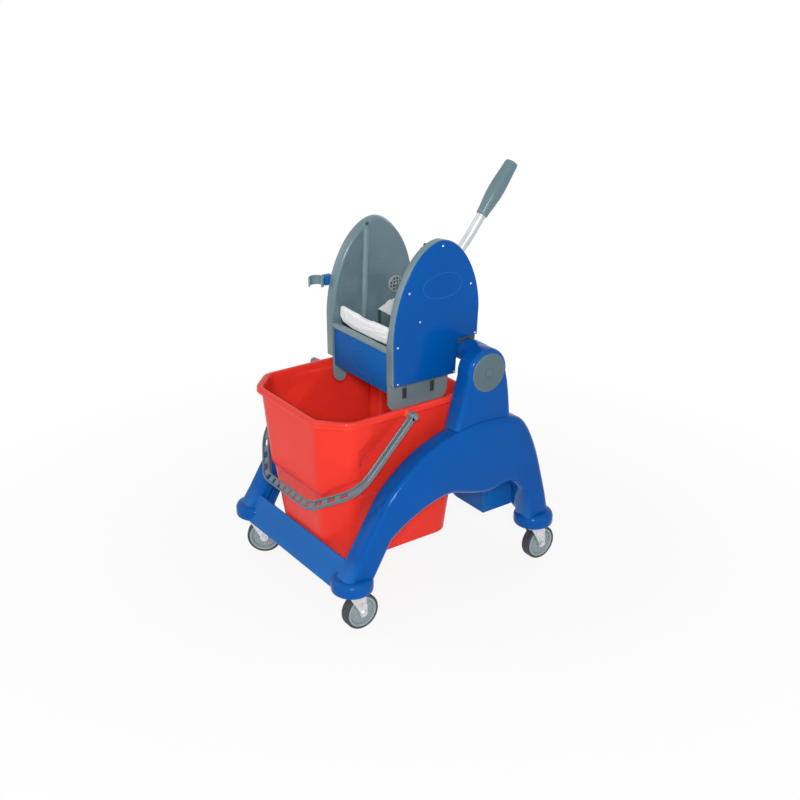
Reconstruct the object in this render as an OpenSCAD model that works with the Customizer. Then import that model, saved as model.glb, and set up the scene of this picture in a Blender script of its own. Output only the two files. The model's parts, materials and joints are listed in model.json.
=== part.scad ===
// Mop bucket trolley: two moulded side arches on four swivel casters carry a lift-out bucket with a
// bail, and a lever wringer that hooks over a cross tube behind the bucket.
// X runs across the trolley (right side +X), Y from the bucket end (-Y) to the lever end (+Y),
// Z up from the floor. The origin is on the floor in the middle of the four caster stems.

/* [Frame] */
// Distance between the left and right caster stems
track = 406; // [396:1:430]
// Distance between the front and rear caster stems
wheelbase = 498; // [486:1:530]
// Width of each side arch across the trolley
arch_w = 56; // [50:1:62]
// Height of the arch crown above the floor
crown_z = 400; // [390:1:410]
// Height of the lower edge of the side panels
panel_z = 229; // [220:1:236]
// Rounding of the arch edges
arch_round = 16; // [8:1:18]
// Outer wall left on the hollow arch
arch_wall = 5; // [3:0.5:8]
// Length of each arch foot
foot_l = 78; // [70:1:84]
// Radius of the round corner bosses over the casters
boss_r = 45; // [44:0.5:50]
// Height of the corner bosses
boss_h = 32; // [28:1:40]
// Thickness of the boss floor under the arch foot
boss_floor = 15; // [10:1:20]
// Thickness of the sloping front crossbar
crossbar_t = 14; // [8:1:16]
// Height of the front crossbar
crossbar_h = 55; // [46:1:60]
// Thickness of the rear panel
rear_panel_t = 10; // [6:1:14]
// Height of the rear panel
rear_panel_h = 80; // [60:1:90]
// Width of the rear tray
tray_w = 280; // [240:1:300]
// Depth of the rear tray
tray_d = 84; // [60:1:90]
// Height of the rear tray
tray_h = 120; // [90:1:150]
// Wall of the rear tray
tray_wall = 4; // [3:0.5:6]

/* [Posts and cross tube] */
// Height of the cap centre on each post
post_z = 507; // [500:1:514]
// Place of the cap centre behind the wheelbase middle
post_y = 90; // [84:1:96]
// Radius of the rounded post head
post_r = 51; // [48:0.5:56]
// Width of each post across the trolley
post_w = 44; // [38:1:48]
// Radius of the round cap on the post
cap_r = 43; // [36:0.5:45]
// Thickness of the cap
cap_t = 6; // [4:0.5:8]
// Radius of the cross tube
tube_r = 25; // [22:0.5:27]
// Wall of the cross tube
tube_wall = 4; // [2:0.5:6]
// Place of the cross tube behind the wheelbase middle
tube_y = 105; // [100:1:110]
// Height of the cross tube
tube_z = 527; // [522:1:532]
// Length of each tapered tube collar
collar_l = 34; // [26:1:38]

/* [Casters] */
// Wheel diameter
wheel_d = 80; // [74:1:84]
// Tyre width
tyre_w = 24; // [20:0.5:26]
// Tyre thickness on the wheel
tyre_t = 5.5; // [4:0.5:8]
// Height of the boss floor above the ground
caster_h = 97; // [95:1:108]
// Trail of the wheel behind its stem
trail = 18; // [14:1:24]
// Radius of the caster stem
stem_r = 6; // [5:0.5:8]
// Radius of the wheel axle
axle_r = 4; // [3:0.5:5]
// Thickness of the fork plates
fork_t = 3; // [2:0.5:4]
// How far the front left caster stands turned
front_left_turn = -36; // [-60:1:60]

/* [Bucket] */
// Half width of the bucket inside its rim
bucket_x = 160; // [152:1:162]
// Length of the bucket inside its rim
bucket_l = 348; // [330:1:352]
// Height of the bucket rim above the floor
rim_z = 453; // [445:1:460]
// Height of the bucket bottom above the floor
bucket_z = 106; // [100:1:112]
// Front corner chamfer of the bucket
bucket_chamfer = 52; // [44:1:60]
// Wall of the bucket
bucket_wall = 4; // [3:0.5:5]
// Height of the shoulder step in the bucket wall
shoulder_z = 278; // [274:1:284]
// Width of the rim lip
lip_w = 8; // [5:0.5:9]
// Height of the rim lip
lip_h = 14; // [12:1:20]

/* [Bail] */
// Half distance between the bail arms
bail_x = 189; // [187:0.5:194]
// Reach of the bail from its pivot to the grip
bail_l = 273; // [268:1:282]
// Half length of the straight grip
grip_half = 88; // [70:1:100]
// Width of the bail strap
strap_w = 16; // [14:0.5:17]
// Thickness of the bail strap
strap_t = 10; // [7:0.5:12]
// Gap between the hanging bail and the bucket shoulder
bail_gap = 8; // [6:0.5:12]
// Pin radius of the bail pivot
bail_pin_r = 4; // [3:0.25:5]

/* [Wringer] */
// Half width over the outside of the wringer covers
wringer_x = 129; // [126:0.5:134]
// Thickness of each hollow wringer side
side_t = 23; // [20:1:25]
// Thickness of the blue side covers
cover_t = 3; // [2:0.5:4]
// Length of the wringer side in front of the cross tube
side_l = 166; // [158:1:172]
// Overhang of the wringer side behind the cross tube front
overhang = 58; // [52:1:62]
// Height of the wringer side above the cross tube
side_up = 223; // [210:1:235]
// Height of the wringer side below the top of the cross tube
side_down = 72; // [66:1:78]
// Depth of the skirts that hang into the bucket
skirt_h = 57; // [50:1:60]
// Wall of the hollow wringer side
side_wall = 3.5; // [2.5:0.5:4]
// Height of the blue front panel
front_panel_h = 90; // [80:1:96]
// Thickness of the fixed front jaw
jaw_t = 6; // [4:0.5:8]
// Height of the front jaw top above the overhang
jaw_top = 31; // [24:1:36]
// Gap between the saddle top and the wringer overhang
saddle_t = 5; // [4:0.5:8]

/* [Lever] */
// Lever axle radius
lever_axle_r = 9; // [7:0.5:10]
// Lever tube radius
lever_r = 10.5; // [9:0.5:12]
// Lever tube wall
lever_wall = 1.5; // [1:0.25:2]
// Slope of the lower lever
lever_low_angle = 40; // [34:1:46]
// Slope of the upper lever and grip
lever_top_angle = 52; // [46:1:56]
// Length of the lower lever from the axle to its bend
lever_low_l = 142; // [120:1:160]
// Length of the upper lever from its bend to the grip end
lever_top_l = 218; // [190:1:230]
// Length of the grip
grip_l = 136; // [110:1:150]
// Gap between the press plate and the front jaw at rest
mouth = 88; // [80:1:92]
// Thickness of the press plate
press_t = 6; // [4:0.5:8]
// Height of the press plate
press_h = 95; // [80:1:98]
// Turns of the return spring
spring_turns = 7; // [4:1:9]

/* [Clip and cloth] */
// Radius of a mop handle in the clip
clip_r = 12; // [10:0.5:13]
// Wall of the clip
clip_wall = 5.5; // [4:0.5:7]
// Height of the clip
clip_h = 28; // [20:1:34]
// Thickness of the mop cloth
cloth_t = 5; // [3:0.5:6]
// Drop of the front cloth ahead of the jaw
cloth_drop = 22; // [14:1:24]

/* [Hidden] */
$fn = 64;

blue = [0.0, 0.36, 0.68];
red = [0.88, 0.17, 0.14];
grey = [0.42, 0.48, 0.50];
pale_grey = [0.55, 0.60, 0.62];
dark_grey = [0.25, 0.28, 0.29];
zinc = [0.78, 0.80, 0.82];
white = [0.93, 0.93, 0.91];

// Small gaps between pieces
run_gap = 0.05;
free_gap = 0.4;
show_gap = 1;

// Frame places
stem_x = track / 2;
front_y = -wheelbase / 2;
rear_y = wheelbase / 2;
arch_in = stem_x - arch_w / 2;
arch_out = stem_x + arch_w / 2;
foot_z = caster_h + boss_floor;
crown_y = 79;
rim_inset = arch_round + 12;
corners = [["fl", -1, -1], ["fr", 1, -1], ["rl", -1, 1], ["rr", 1, 1]];
post_out = arch_in + post_w;
rear_panel_y = rear_y - 13;
tray_z = caster_h + 24;
tray_y = rear_panel_y - tray_d;

// Bucket places
bucket_front = front_y - 19;
bucket_rear = bucket_front + bucket_l;
shoulder_step = 9;
shoulder_x = bucket_x - 8;
rail_t = 8;
rail_front = front_y + 225;
rail_rear = front_y + 315;
pivot_y = bucket_front + 184;
lug_r = 10;
pivot_z = rim_z - lug_r - 1;
eye_r = 9;

// Wringer places
notch_y = tube_y - tube_r - 4;
sill_z = tube_z + tube_r + saddle_t;
side_out = wringer_x - cover_t;
side_in = side_out - side_t;
side_front = notch_y - side_l;
side_low = sill_z - side_down;
side_rear = notch_y + overhang;
side_top = sill_z + side_up;
axle_y = notch_y + 4;
axle_z = sill_z + 62;
rail_z = sill_z - 5;
rail_h = 11;
jaw_y = side_front + 24;
jaw_top_z = sill_z + jaw_top;
press_y = jaw_y + jaw_t + mouth;
press_low = sill_z - 77;
press_x = side_in - 7.5;
bush_r = 19.5;
grid_z = press_low - 14;
grid_t = 4;
skirt_rear = notch_y - 4;
clip_y = side_front - 15;
clip_x = wringer_x + clip_r - 1;
clip_z = sill_z + 98;

function catmull(a, b, c, d, t) =
    0.5 * (2 * b + (c - a) * t + (2 * a - 5 * b + 4 * c - d) * t * t + (3 * b - a - 3 * c + d) * t * t * t);

// Smooth run through the given points
function smooth_run(p, n) = concat(
    [for (i = [0 : len(p) - 2]) for (k = [0 : n - 1])
        catmull(p[max(i - 1, 0)], p[i], p[i + 1], p[min(i + 2, len(p) - 1)], k / n)],
    [p[len(p) - 1]]);

// Smooth run whose first and last stretches stay straight
function run_ends(p, n) = let (m = len(p))
    concat([p[0]], smooth_run([for (i = [1 : m - 2]) p[i]], n), [p[m - 1]]);

function inward(a, b) = [b[1] - a[1], a[0] - b[0]] / norm(b - a);

// Clockwise outline moved inwards by d
function inset(p, d) = let (n = len(p)) [for (i = [0 : n - 1])
    let (u = inward(p[(i + n - 1) % n], p[i]), v = inward(p[i], p[(i + 1) % n]))
    p[i] + d * (u + v) / (1 + u * v)];

// Solid through rings of equal length, clockwise when seen from the last ring's side
module loft(rings) {
    n = len(rings[0]);
    m = len(rings);
    points = [for (r = rings) for (p = r) p];
    sides = [for (j = [0 : m - 2]) for (i = [0 : n - 1]) let (k = (i + 1) % n)
        each [[j * n + i, j * n + k, (j + 1) * n + k], [j * n + i, (j + 1) * n + k, (j + 1) * n + i]]];
    first = [for (i = [n - 1 : -1 : 0]) i];
    last = [for (i = [0 : n - 1]) (m - 1) * n + i];
    polyhedron(points, concat([first], sides, [last]), convexity = 8);
}

// Rings of a slab across X with rounded edges: [x, inset]
function slab_rings(x0, x1, r, steps) = concat(
    [for (k = [0 : steps]) let (a = 90 * k / steps) [x0 + r * (1 - cos(a)), r * (1 - sin(a))]],
    [for (k = [steps : -1 : 0]) let (a = 90 * k / steps) [x1 - r * (1 - cos(a)), r * (1 - sin(a))]]);

// Solid across X through insets of a clockwise Y-Z outline
module inset_loft(outline, rings) {
    loft([for (s = rings) [for (p = inset(outline, s[1])) [s[0], p[0], p[1]]]]);
}

// Straight slab across X of a Y-Z outline
module slab(outline, x0, x1) {
    translate([x0, 0, 0]) rotate([90, 0, 90]) linear_extrude(x1 - x0) polygon(outline);
}

// Cylinder along X
module rod(x0, x1, y, z, r) {
    translate([x0, y, z]) rotate([0, 90, 0]) cylinder(h = x1 - x0, r = r);
}

module block(x0, x1, y0, y1, z0, z1) {
    translate([x0, y0, z0]) cube([x1 - x0, y1 - y0, z1 - z0]);
}

module mirrored(side) {
    if (side < 0) mirror([1, 0, 0]) children();
    else children();
}

module both_sides() {
    for (side = [-1, 1]) mirrored(side) children();
}

// Side arch outline: over the top from front to rear, then back along the lower edge
arch_over = [
    [front_y - foot_l / 2, foot_z], [front_y - 3, foot_z + 50], [front_y + 49, crown_z - 155],
    [front_y + 81, crown_z - 108], [front_y + 130, crown_z - 65], [front_y + 185, crown_z - 32],
    [crown_y - 70, crown_z - 8], [crown_y, crown_z], [rear_y - 92, crown_z - 9], [rear_y - 54, crown_z - 32],
    [rear_y - 19, crown_z - 104], [rear_y + 15, foot_z + 66], [rear_y + foot_l / 2 - 10, foot_z]
];
arch_under = [
    [rear_y + 3 - foot_l / 2, foot_z], [rear_y - 52, panel_z - 29],
    [rear_y - 89, panel_z + 5], [rear_y - 155, panel_z], [rear_y - 197, panel_z + 8],
    [front_y + 238, panel_z + 25], [front_y + 180, panel_z + 14], [front_y + 128, panel_z - 9],
    [front_y + 87, panel_z - 35], [front_y + foot_l / 2, foot_z]
];
arch_top = run_ends(arch_over, 3);
arch_outline = concat(arch_top, run_ends(arch_under, 3));

module arch(side) {
    hollow = [[arch_out - arch_wall, rim_inset], [arch_in, rim_inset]];
    color(blue) mirrored(side)
        inset_loft(arch_outline, concat(hollow, slab_rings(arch_in, arch_out, arch_round, 3)));
}

// Post outline: tombstone with a round head, its base following the arch crown
post_base = [post_y - 85, post_y + 66];
neck = post_z - crown_z;

function crown_at(y) = [y, lookup(y, arch_top)];

post_outline = concat(
    [crown_at(post_base[0]), [post_y - 68, post_z - 0.63 * neck], [post_y - 58, post_z - 0.3 * neck]],
    [for (a = [190 : -10 : -10]) [post_y + post_r * cos(a), post_z + post_r * sin(a)]],
    [[post_y + 57, post_z - 0.3 * neck], [post_y + 62, post_z - 0.63 * neck], crown_at(post_base[1])],
    [for (i = [len(arch_top) - 1 : -1 : 0])
        if (arch_top[i][0] > post_base[0] && arch_top[i][0] < post_base[1]) arch_top[i]]);

module post(side) {
    color(blue) mirrored(side) difference() {
        slab(post_outline, arch_in, post_out);
        rod(post_out - cap_t + show_gap, post_out + 1, post_y, post_z, cap_r + 0.2);
    }
}

module post_caps() {
    plug_r = 9;
    groove = 1.2;
    color(grey) both_sides() difference() {
        rod(post_out - cap_t + show_gap, post_out + show_gap, post_y, post_z, cap_r);
        difference() {
            rod(post_out, post_out + 2, post_y, post_z, plug_r + groove);
            rod(post_out - 1, post_out + 3, post_y, post_z, plug_r);
        }
    }
}

// Tapered collar that carries the cross tube on a post
module tube_collar(side) {
    tip = arch_in - collar_l;
    color(blue) mirrored(side) difference() {
        hull() {
            rod(arch_in - 4, arch_in, (post_y + 3 * tube_y) / 4, (post_z + 3 * tube_z) / 4, tube_r + 8,
                $fn = 32);
            rod(tip, tip + 3, tube_y, tube_z, tube_r + 2.5, $fn = 32);
        }
        rod(tip - 1, arch_in + 1, tube_y, tube_z, tube_r);
    }
}

module cross_tube() {
    color(blue) difference() {
        rod(-arch_in, arch_in, tube_y, tube_z, tube_r);
        rod(-arch_in - 1, arch_in + 1, tube_y, tube_z, tube_r - tube_wall);
    }
}

module corner_boss(i) {
    x = corners[i][1];
    y = corners[i][2] * wheelbase / 2;
    edge = 8;
    color(blue) difference() {
        translate([x * stem_x, y, caster_h]) rotate_extrude() union() {
            square([boss_r - edge, boss_h]);
            translate([0, edge]) square([boss_r, boss_h - 2 * edge]);
            for (z = [edge, boss_h - edge]) translate([boss_r - edge, z]) circle(edge, $fn = 32);
        }
        mirrored(x) slab(arch_outline, arch_in, arch_out);
        translate([x * stem_x, y, caster_h - 1]) cylinder(h = boss_floor + 2, r = stem_r);
    }
}

// Room for the two bosses at one end
module boss_room(y) {
    for (side = [-1, 1]) translate([side * stem_x, y, caster_h - 1])
        cylinder(h = boss_h + 1, r = boss_r);
}

// Sloping front crossbar, in line with the front of the arch feet
module front_crossbar() {
    low = caster_h + 2;
    lean = 34;
    ledge = 5;
    face = front_y - 35;
    section = [[face, low], [face + lean, low + crossbar_h], [face + lean + ledge, low + crossbar_h],
        [face + lean + ledge, low + crossbar_h - 7], [face + crossbar_t + 2, low]];
    color(blue) difference() {
        slab(section, -arch_in, arch_in);
        boss_room(front_y);
    }
}

// Rear panel between the arches, its lower corners drawn down to the bosses
module rear_panel() {
    drop = 16;
    color(blue) difference() {
        translate([0, rear_panel_y + rear_panel_t, 0]) rotate([90, 0, 0])
            linear_extrude(rear_panel_t) polygon([
                [-arch_in, tray_z - drop], [-tray_w / 2, tray_z], [tray_w / 2, tray_z],
                [arch_in, tray_z - drop], [arch_in, tray_z + rear_panel_h],
                [-arch_in, tray_z + rear_panel_h]]);
        boss_room(rear_y);
    }
}

module rear_tray() {
    dip_r = 140;
    color(blue) difference() {
        block(-tray_w / 2, tray_w / 2, tray_y, rear_panel_y, tray_z, tray_z + tray_h);
        block(-tray_w / 2 + tray_wall, tray_w / 2 - tray_wall, tray_y + tray_wall, rear_panel_y - tray_wall,
            tray_z + 12, tray_z + tray_h + 1);
        translate([0, tray_y - 1, tray_z - dip_r + 6]) rotate([-90, 0, 0])
            cylinder(h = 14, r = dip_r, $fn = 96);
    }
}

// Ledges on the arches that carry the bucket by its shoulder
module bucket_rails() {
    top = shoulder_z - shoulder_step;
    low_x = bucket_side(top) + 0.3;
    color(blue) both_sides() block(low_x, arch_in, rail_front, rail_rear, top - rail_t, top);
}

module at_stem(i) {
    turn = i == 0 ? front_left_turn : 0;
    translate([corners[i][1] * stem_x, corners[i][2] * wheelbase / 2, 0]) rotate([0, 0, turn]) children();
}

crown_t = 8;
race_t = 3.5;
fork_top = caster_h - race_t - free_gap;
fork_low = fork_top - crown_t;
head_h = 3;
head_r = stem_r + 3.5;
wheel_r = wheel_d / 2;
fork_in = tyre_w / 2 + 1.5;
fork_out = fork_in + fork_t;

module caster_stems() {
    color(zinc) for (i = [0 : 3]) at_stem(i) {
        translate([0, 0, fork_low + free_gap]) cylinder(h = foot_z - fork_low - free_gap, r = stem_r);
        translate([0, 0, fork_low + free_gap]) cylinder(h = head_h, r = head_r);
    }
}

module caster_races() {
    color(zinc) for (i = [0 : 3]) at_stem(i) translate([0, 0, caster_h - race_t]) difference() {
        cylinder(h = race_t, r = stem_r + 15);
        translate([0, 0, -1]) cylinder(h = race_t + 2, r = stem_r);
    }
}

module fork(i) {
    eye = axle_r + 5.5;
    half_top = fork_out + 3;
    side = concat([[-half_top, fork_top], [half_top + 4, fork_top]],
        [for (a = [20 : -20 : -200]) [trail + eye * cos(a), wheel_r + eye * sin(a)]]);
    color(zinc) at_stem(i) difference() {
        union() {
            translate([0, 0, fork_low]) cylinder(h = crown_t, r = fork_out + 5);
            for (s = [-1, 1]) mirrored(s) slab(side, fork_in, fork_out);
        }
        translate([0, 0, fork_low - 1]) cylinder(h = crown_t + 2, r = stem_r + run_gap);
        translate([0, 0, fork_low - 1]) cylinder(h = 1 + 2 * free_gap + head_h, r = head_r + free_gap);
        rod(-fork_out - 1, fork_out + 1, trail, wheel_r, axle_r);
    }
}

module axle(i) {
    color(zinc) at_stem(i) {
        rod(-fork_out, fork_out, trail, wheel_r, axle_r);
        for (s = [-1, 1]) mirrored(s) rod(fork_out, fork_out + 3, trail, wheel_r, axle_r + 2.5, $fn = 6);
    }
}

hub_r = wheel_r - tyre_t;

// Wheel shape spun about X: half profile given as [radius, half width] points
module spun(i, profile) {
    at_stem(i) translate([0, trail, wheel_r]) rotate([0, 90, 0]) rotate_extrude() polygon(profile);
}

module wheel_hub(i) {
    w = tyre_w / 2 - 1;
    web = 4;
    bore = axle_r + run_gap;
    ring = hub_r - 5;
    color(pale_grey) spun(i, [
        [bore, -w - 1], [bore + 6, -w - 1], [bore + 8, -web], [ring - 2, -web], [ring, -w], [hub_r, -w],
        [hub_r, w], [ring, w], [ring - 2, web], [bore + 8, web], [bore + 6, w + 1], [bore, w + 1]]);
}

module tyre(i) {
    w = tyre_w / 2;
    edge = 2.5;
    color(dark_grey) spun(i, [
        [hub_r, -w], [wheel_r - edge, -w], [wheel_r - 0.7, -w + 0.7], [wheel_r, -w + edge],
        [wheel_r, w - edge], [wheel_r - 0.7, w - 0.7], [wheel_r - edge, w], [hub_r, w]]);
}

// Outer half width, front and rear of the bucket wall at a height
bucket_levels = [
    [bucket_z, bucket_x - 31, bucket_front + 30, bucket_rear - 19],
    [shoulder_z - shoulder_step, shoulder_x - 4.5, bucket_front + 13, bucket_rear - 8],
    [shoulder_z, shoulder_x, bucket_front + 8, bucket_rear - 6],
    [rim_z, bucket_x + bucket_wall, bucket_front - bucket_wall, bucket_rear + bucket_wall]
];

function bucket_side(z) = lookup(z, [for (b = bucket_levels) [b[0], b[1]]]);

// Ring of the bucket wall, grown by d
function bucket_ring(b, d = 0) =
    let (x = b[1] + d, f = b[2] - d, r = b[3] + d, c = bucket_chamfer, k = 18, z = b[0])
    [[x - c, f, z], [c - x, f, z], [-x, f + c, z], [-x, r - k, z],
     [k - x, r, z], [x - k, r, z], [x, r - k, z], [x, f + c, z]];

function flat(ring) = [for (p = ring) [p[0], p[1]]];

module bucket() {
    floor_t = bucket_wall + 1;
    top = bucket_levels[3];
    low = bucket_levels[0];
    raised = [low[0] + floor_t, low[1], low[2], low[3]];
    inner = [for (b = bucket_levels) bucket_ring(b == low ? raised : b, -bucket_wall)];
    mouth_ring = bucket_ring([rim_z + 1, top[1], top[2], top[3]], -bucket_wall);
    lug_out = bail_x - strap_w / 2 - free_gap;
    color(red) difference() {
        union() {
            loft([for (b = bucket_levels) bucket_ring(b)]);
            translate([0, 0, rim_z - lip_h]) linear_extrude(lip_h) polygon(flat(bucket_ring(top, lip_w)));
            both_sides() rod(bucket_x, lug_out, pivot_y, pivot_z, lug_r);
        }
        loft(concat(inner, [mouth_ring]));
        both_sides() rod(bucket_x + bucket_wall + 2, lug_out + 1, pivot_y, pivot_z, bail_pin_r);
    }
}

module bail_pins() {
    color(grey) both_sides()
        rod(bucket_x + bucket_wall + 2, bail_x + strap_w / 2 + 2, pivot_y, pivot_z, bail_pin_r);
}

// Angle that the bail hangs below level, its grip a gap ahead of the bucket shoulder
bail_reach = [bail_l - strap_w / 2, strap_t / 2];
bail_clear = pivot_y - bucket_levels[2][2] + bail_gap;
bail_angle = acos(bail_clear / norm(bail_reach)) - atan2(bail_reach[1], bail_reach[0]);

// Bail centre line in its own plane: across the trolley, and out from the pivot
bail_slant = (bail_x - grip_half) * [-1, 0.81];
bail_bend = [bail_x, bail_l - bail_slant[1]];
bail_half = [
    [bail_x, 0], [bail_x, bail_bend[1] - 0.34 * bail_slant[1]], bail_bend + [-5, -2],
    bail_bend + 0.22 * bail_slant, [grip_half, bail_l]
];
bail_line = concat(bail_half, [for (i = [4 : -1 : 0]) [-bail_half[i][0], bail_half[i][1]]]);

function side_of(p, i) = let (n = len(p), a = p[max(i - 1, 0)], b = p[i], c = p[min(i + 1, n - 1)],
    u = a == b ? inward(b, c) : inward(a, b), v = b == c ? inward(a, b) : inward(b, c))
    (u + v) / (1 + u * v);

// Strap outline of width w along an open line
function strap(p, w) = concat([for (i = [0 : len(p) - 1]) p[i] + side_of(p, i) * w / 2],
    [for (i = [len(p) - 1 : -1 : 0]) p[i] - side_of(p, i) * w / 2]);

module bail_handle() {
    rim = 3.5;
    groove = 2.5;
    hole = [9, strap_w - 2 * rim - 2];
    eye_gap = eye_r + 8;
    grooved = concat([[bail_x, eye_gap]], [for (i = [1 : 8]) bail_line[i]], [[-bail_x, eye_gap]]);
    color(grey) translate([0, pivot_y, pivot_z]) rotate([bail_angle, 0, 0]) difference() {
        union() {
            translate([0, 0, -strap_t / 2]) linear_extrude(strap_t) mirror([0, 1])
                polygon(strap(bail_line, strap_w));
            both_sides() rod(bail_x - strap_w / 2, bail_x + strap_w / 2, 0, 0, eye_r);
        }
        for (z = [strap_t / 2 - groove, -strap_t / 2 - 1]) translate([0, 0, z])
            linear_extrude(groove + 1) mirror([0, 1]) polygon(strap(grooved, strap_w - 2 * rim));
        for (k = [-3 : 3]) translate([k * grip_half / 4, -bail_l, 0])
            cube([hole[0], hole[1], strap_t], center = true);
        rod(-bail_x - strap_w, bail_x + strap_w, 0, 0, bail_pin_r + run_gap);
    }
}

// Wringer side outline: straight front, two quarter ovals meeting at the top, notch over the cross tube
front_shoulder = sill_z + 18;
rear_shoulder = sill_z + 63;
apex_y = side_front + 120;

function oval_at(half, base, a) = [apex_y + half * cos(a), base + (side_top - base) * sin(a)];

side_outline = concat(
    [[side_front, side_low]],
    [for (a = [180 : -9 : 90]) oval_at(apex_y - side_front, front_shoulder, a)],
    [for (a = [81 : -9 : 0]) oval_at(side_rear - apex_y, rear_shoulder, a)],
    [[side_rear - 3, sill_z], [notch_y + 2, sill_z], [notch_y - 2, side_low]]);

skirt_t = 3.5;
skirt_low = side_low - skirt_h;
skirt_outline = [[side_front + 8, side_low + 1], [skirt_rear, side_low + 1], [skirt_rear, skirt_low + 8],
    [skirt_rear - 8, skirt_low], [side_front + 20, skirt_low], [side_front + 8, skirt_low + 12]];
screw_places = [
    [apex_y + 4, side_top - 12], [side_front + 40, side_top - 98], [side_rear - 25, side_top - 105],
    [side_front + 67, side_top - 164], [side_front + 11, side_top - 209], [side_front + 11, side_low + 7],
    [notch_y - 8, side_low + 7], [side_rear - 11, sill_z + 6]];
screw_r = 2;

module wringer_side(side) {
    rib_y = side_front + 87;
    rib_r = 7.5;
    color(grey) mirrored(side) difference() {
        union() {
            slab(side_outline, side_in, side_out);
            slab(skirt_outline, side_in, side_in + skirt_t);
            translate([side_in, rib_y, sill_z + 4]) cylinder(h = side_top - sill_z - 22, r = rib_r);
        }
        slab(inset(side_outline, side_wall), side_in + side_wall, side_out + 1);
        intersection() {
            slab(inset(side_outline, 19), side_in - 1, side_in + 2);
            block(side_in - 2, side_in + 2, side_front, rib_y - rib_r - 2, rail_z + rail_h, side_top);
        }
        rod(side_in - 1, side_in + side_wall + 1, axle_y, axle_z, bush_r - 5);
        for (y = [side_front + 30, skirt_rear - 40])
            block(side_in - 1, side_in + skirt_t + 1, y, y + 10, side_low - 26, side_low - 8);
    }
}

module wringer_cover(side) {
    color(blue) mirrored(side) difference() {
        slab(side_outline, side_out, wringer_x);
        for (p = screw_places) rod(side_out - 1, wringer_x + 1, p[0], p[1], screw_r + run_gap);
    }
}

module cover_screws() {
    color(zinc) both_sides() for (p = screw_places) {
        rod(side_out, wringer_x, p[0], p[1], screw_r);
        rod(wringer_x, wringer_x + 1.4, p[0], p[1], screw_r + 1);
    }
}

module front_panel() {
    color(blue) block(-side_in, side_in, side_front, side_front + 5, rail_z - front_panel_h, rail_z);
}

module front_rail() {
    color(grey) block(-side_in, side_in, side_front, side_front + 11, rail_z, rail_z + rail_h);
}

slot_w = 8;
slot_count = 9;

// Row of upright drain slots across the wringer
module slot_row(y0, y1, z0, z1, reach) {
    pitch = 2 * reach / slot_count;
    for (k = [0 : slot_count - 1]) translate([-reach + pitch * (k + 0.5), 0, 0])
        block(-slot_w / 2, slot_w / 2, y0, y1, z0, z1);
}

module front_jaw() {
    color(grey) difference() {
        block(-side_in, side_in, jaw_y, jaw_y + jaw_t, grid_z + grid_t, jaw_top_z);
        slot_row(jaw_y - 1, jaw_y + jaw_t + 1, grid_z + 24, jaw_top_z - 40, side_in - 12);
    }
}

module back_panel() {
    color(grey) block(-side_in, side_in, notch_y - 9, notch_y - 5, side_low, sill_z - 2);
}

module drip_grid() {
    pitch = 15;
    color(grey) difference() {
        block(-side_in, side_in, side_front + 5, notch_y - 9, grid_z, grid_z + grid_t);
        for (y = [jaw_y + jaw_t + 8 : pitch : notch_y - 24])
            block(-side_in + 14, side_in - 14, y, y + slot_w, grid_z - 1, grid_z + grid_t + 1);
    }
}

// Saddles under the wringer overhang that rest on the cross tube
module tube_saddles() {
    color(grey) both_sides() difference() {
        block(side_in, side_out, notch_y + 4, side_rear - 8, tube_z + tube_r - 6, sill_z);
        rod(side_in - 1, side_out + 1, tube_y, tube_z, tube_r + free_gap);
    }
}

module axle_bushes() {
    hole_r = 2.6;
    ring_r = bush_r - 5;
    flange = 4;
    color(pale_grey) both_sides() difference() {
        union() {
            rod(side_in - flange, side_in, axle_y, axle_z, bush_r);
            rod(side_in, side_in + side_wall + 6, axle_y, axle_z, ring_r);
        }
        rod(side_in - flange - 1, side_out, axle_y, axle_z, lever_axle_r + run_gap);
        for (a = [0 : 30 : 330])
            rod(side_in - flange - 1, side_in - 1, axle_y + ring_r * cos(a), axle_z + ring_r * sin(a),
                hole_r);
    }
}

module clip_base() {
    back = clip_y + clip_r + clip_wall;
    color(blue) block(-clip_x - 7, -wringer_x, back, back + 20, clip_z - 10, clip_z + 10);
}

// Spring clip for a mop handle, open to the front
module mop_clip() {
    mouth_w = 1.3 * clip_r;
    color(grey) translate([-clip_x, clip_y, clip_z - clip_h / 2]) difference() {
        union() {
            cylinder(h = clip_h, r = clip_r + clip_wall);
            translate([-7, 0, clip_h / 2 - 8]) cube([14, clip_r + clip_wall, 16]);
        }
        translate([0, 0, -1]) cylinder(h = clip_h + 2, r = clip_r);
        translate([-mouth_w / 2, -3 * clip_r, -1]) cube([mouth_w, 3 * clip_r, clip_h + 2]);
    }
}

// Cloth folded over an edge: profile points [across, up] about the edge's middle, clockwise from +X
function fold_profile(half, front_drop, back_drop, puff, swell) =
    let (i = half + 0.4 * swell, o = half + cloth_t + swell)
    [[-o, -front_drop], [-o - 1, -front_drop / 2], [-o, 0], [-o * 0.6, cloth_t + puff],
     [o * 0.6, cloth_t + puff], [o, 0], [o + 1, -back_drop / 2], [o, -back_drop], [i, -back_drop],
     [i + 1, -back_drop / 2], [i, 1 + 0.4 * swell], [-i, 1 + 0.4 * swell], [-i - 1, -front_drop / 2],
     [-i, -front_drop]];

cloth_steps = 24;

// Cloth across the wringer, waved into folds
module folded_cloth(x0, x1, y, z, half, front_drop, back_drop, puff, waves) {
    loft([for (k = [0 : cloth_steps])
        let (t = k / cloth_steps, wave = sin(360 * waves * t + 50))
        let (front = front_drop * (1 + 0.15 * sin(200 * t + 20)), back = back_drop * (1 + 0.08 * wave))
        let (prof = fold_profile(half, front, back, puff * (0.6 + 0.4 * wave), 1.2 + wave))
        [for (q = prof) [x0 + (x1 - x0) * t, y + q[0], z + q[1]]]]);
}

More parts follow.
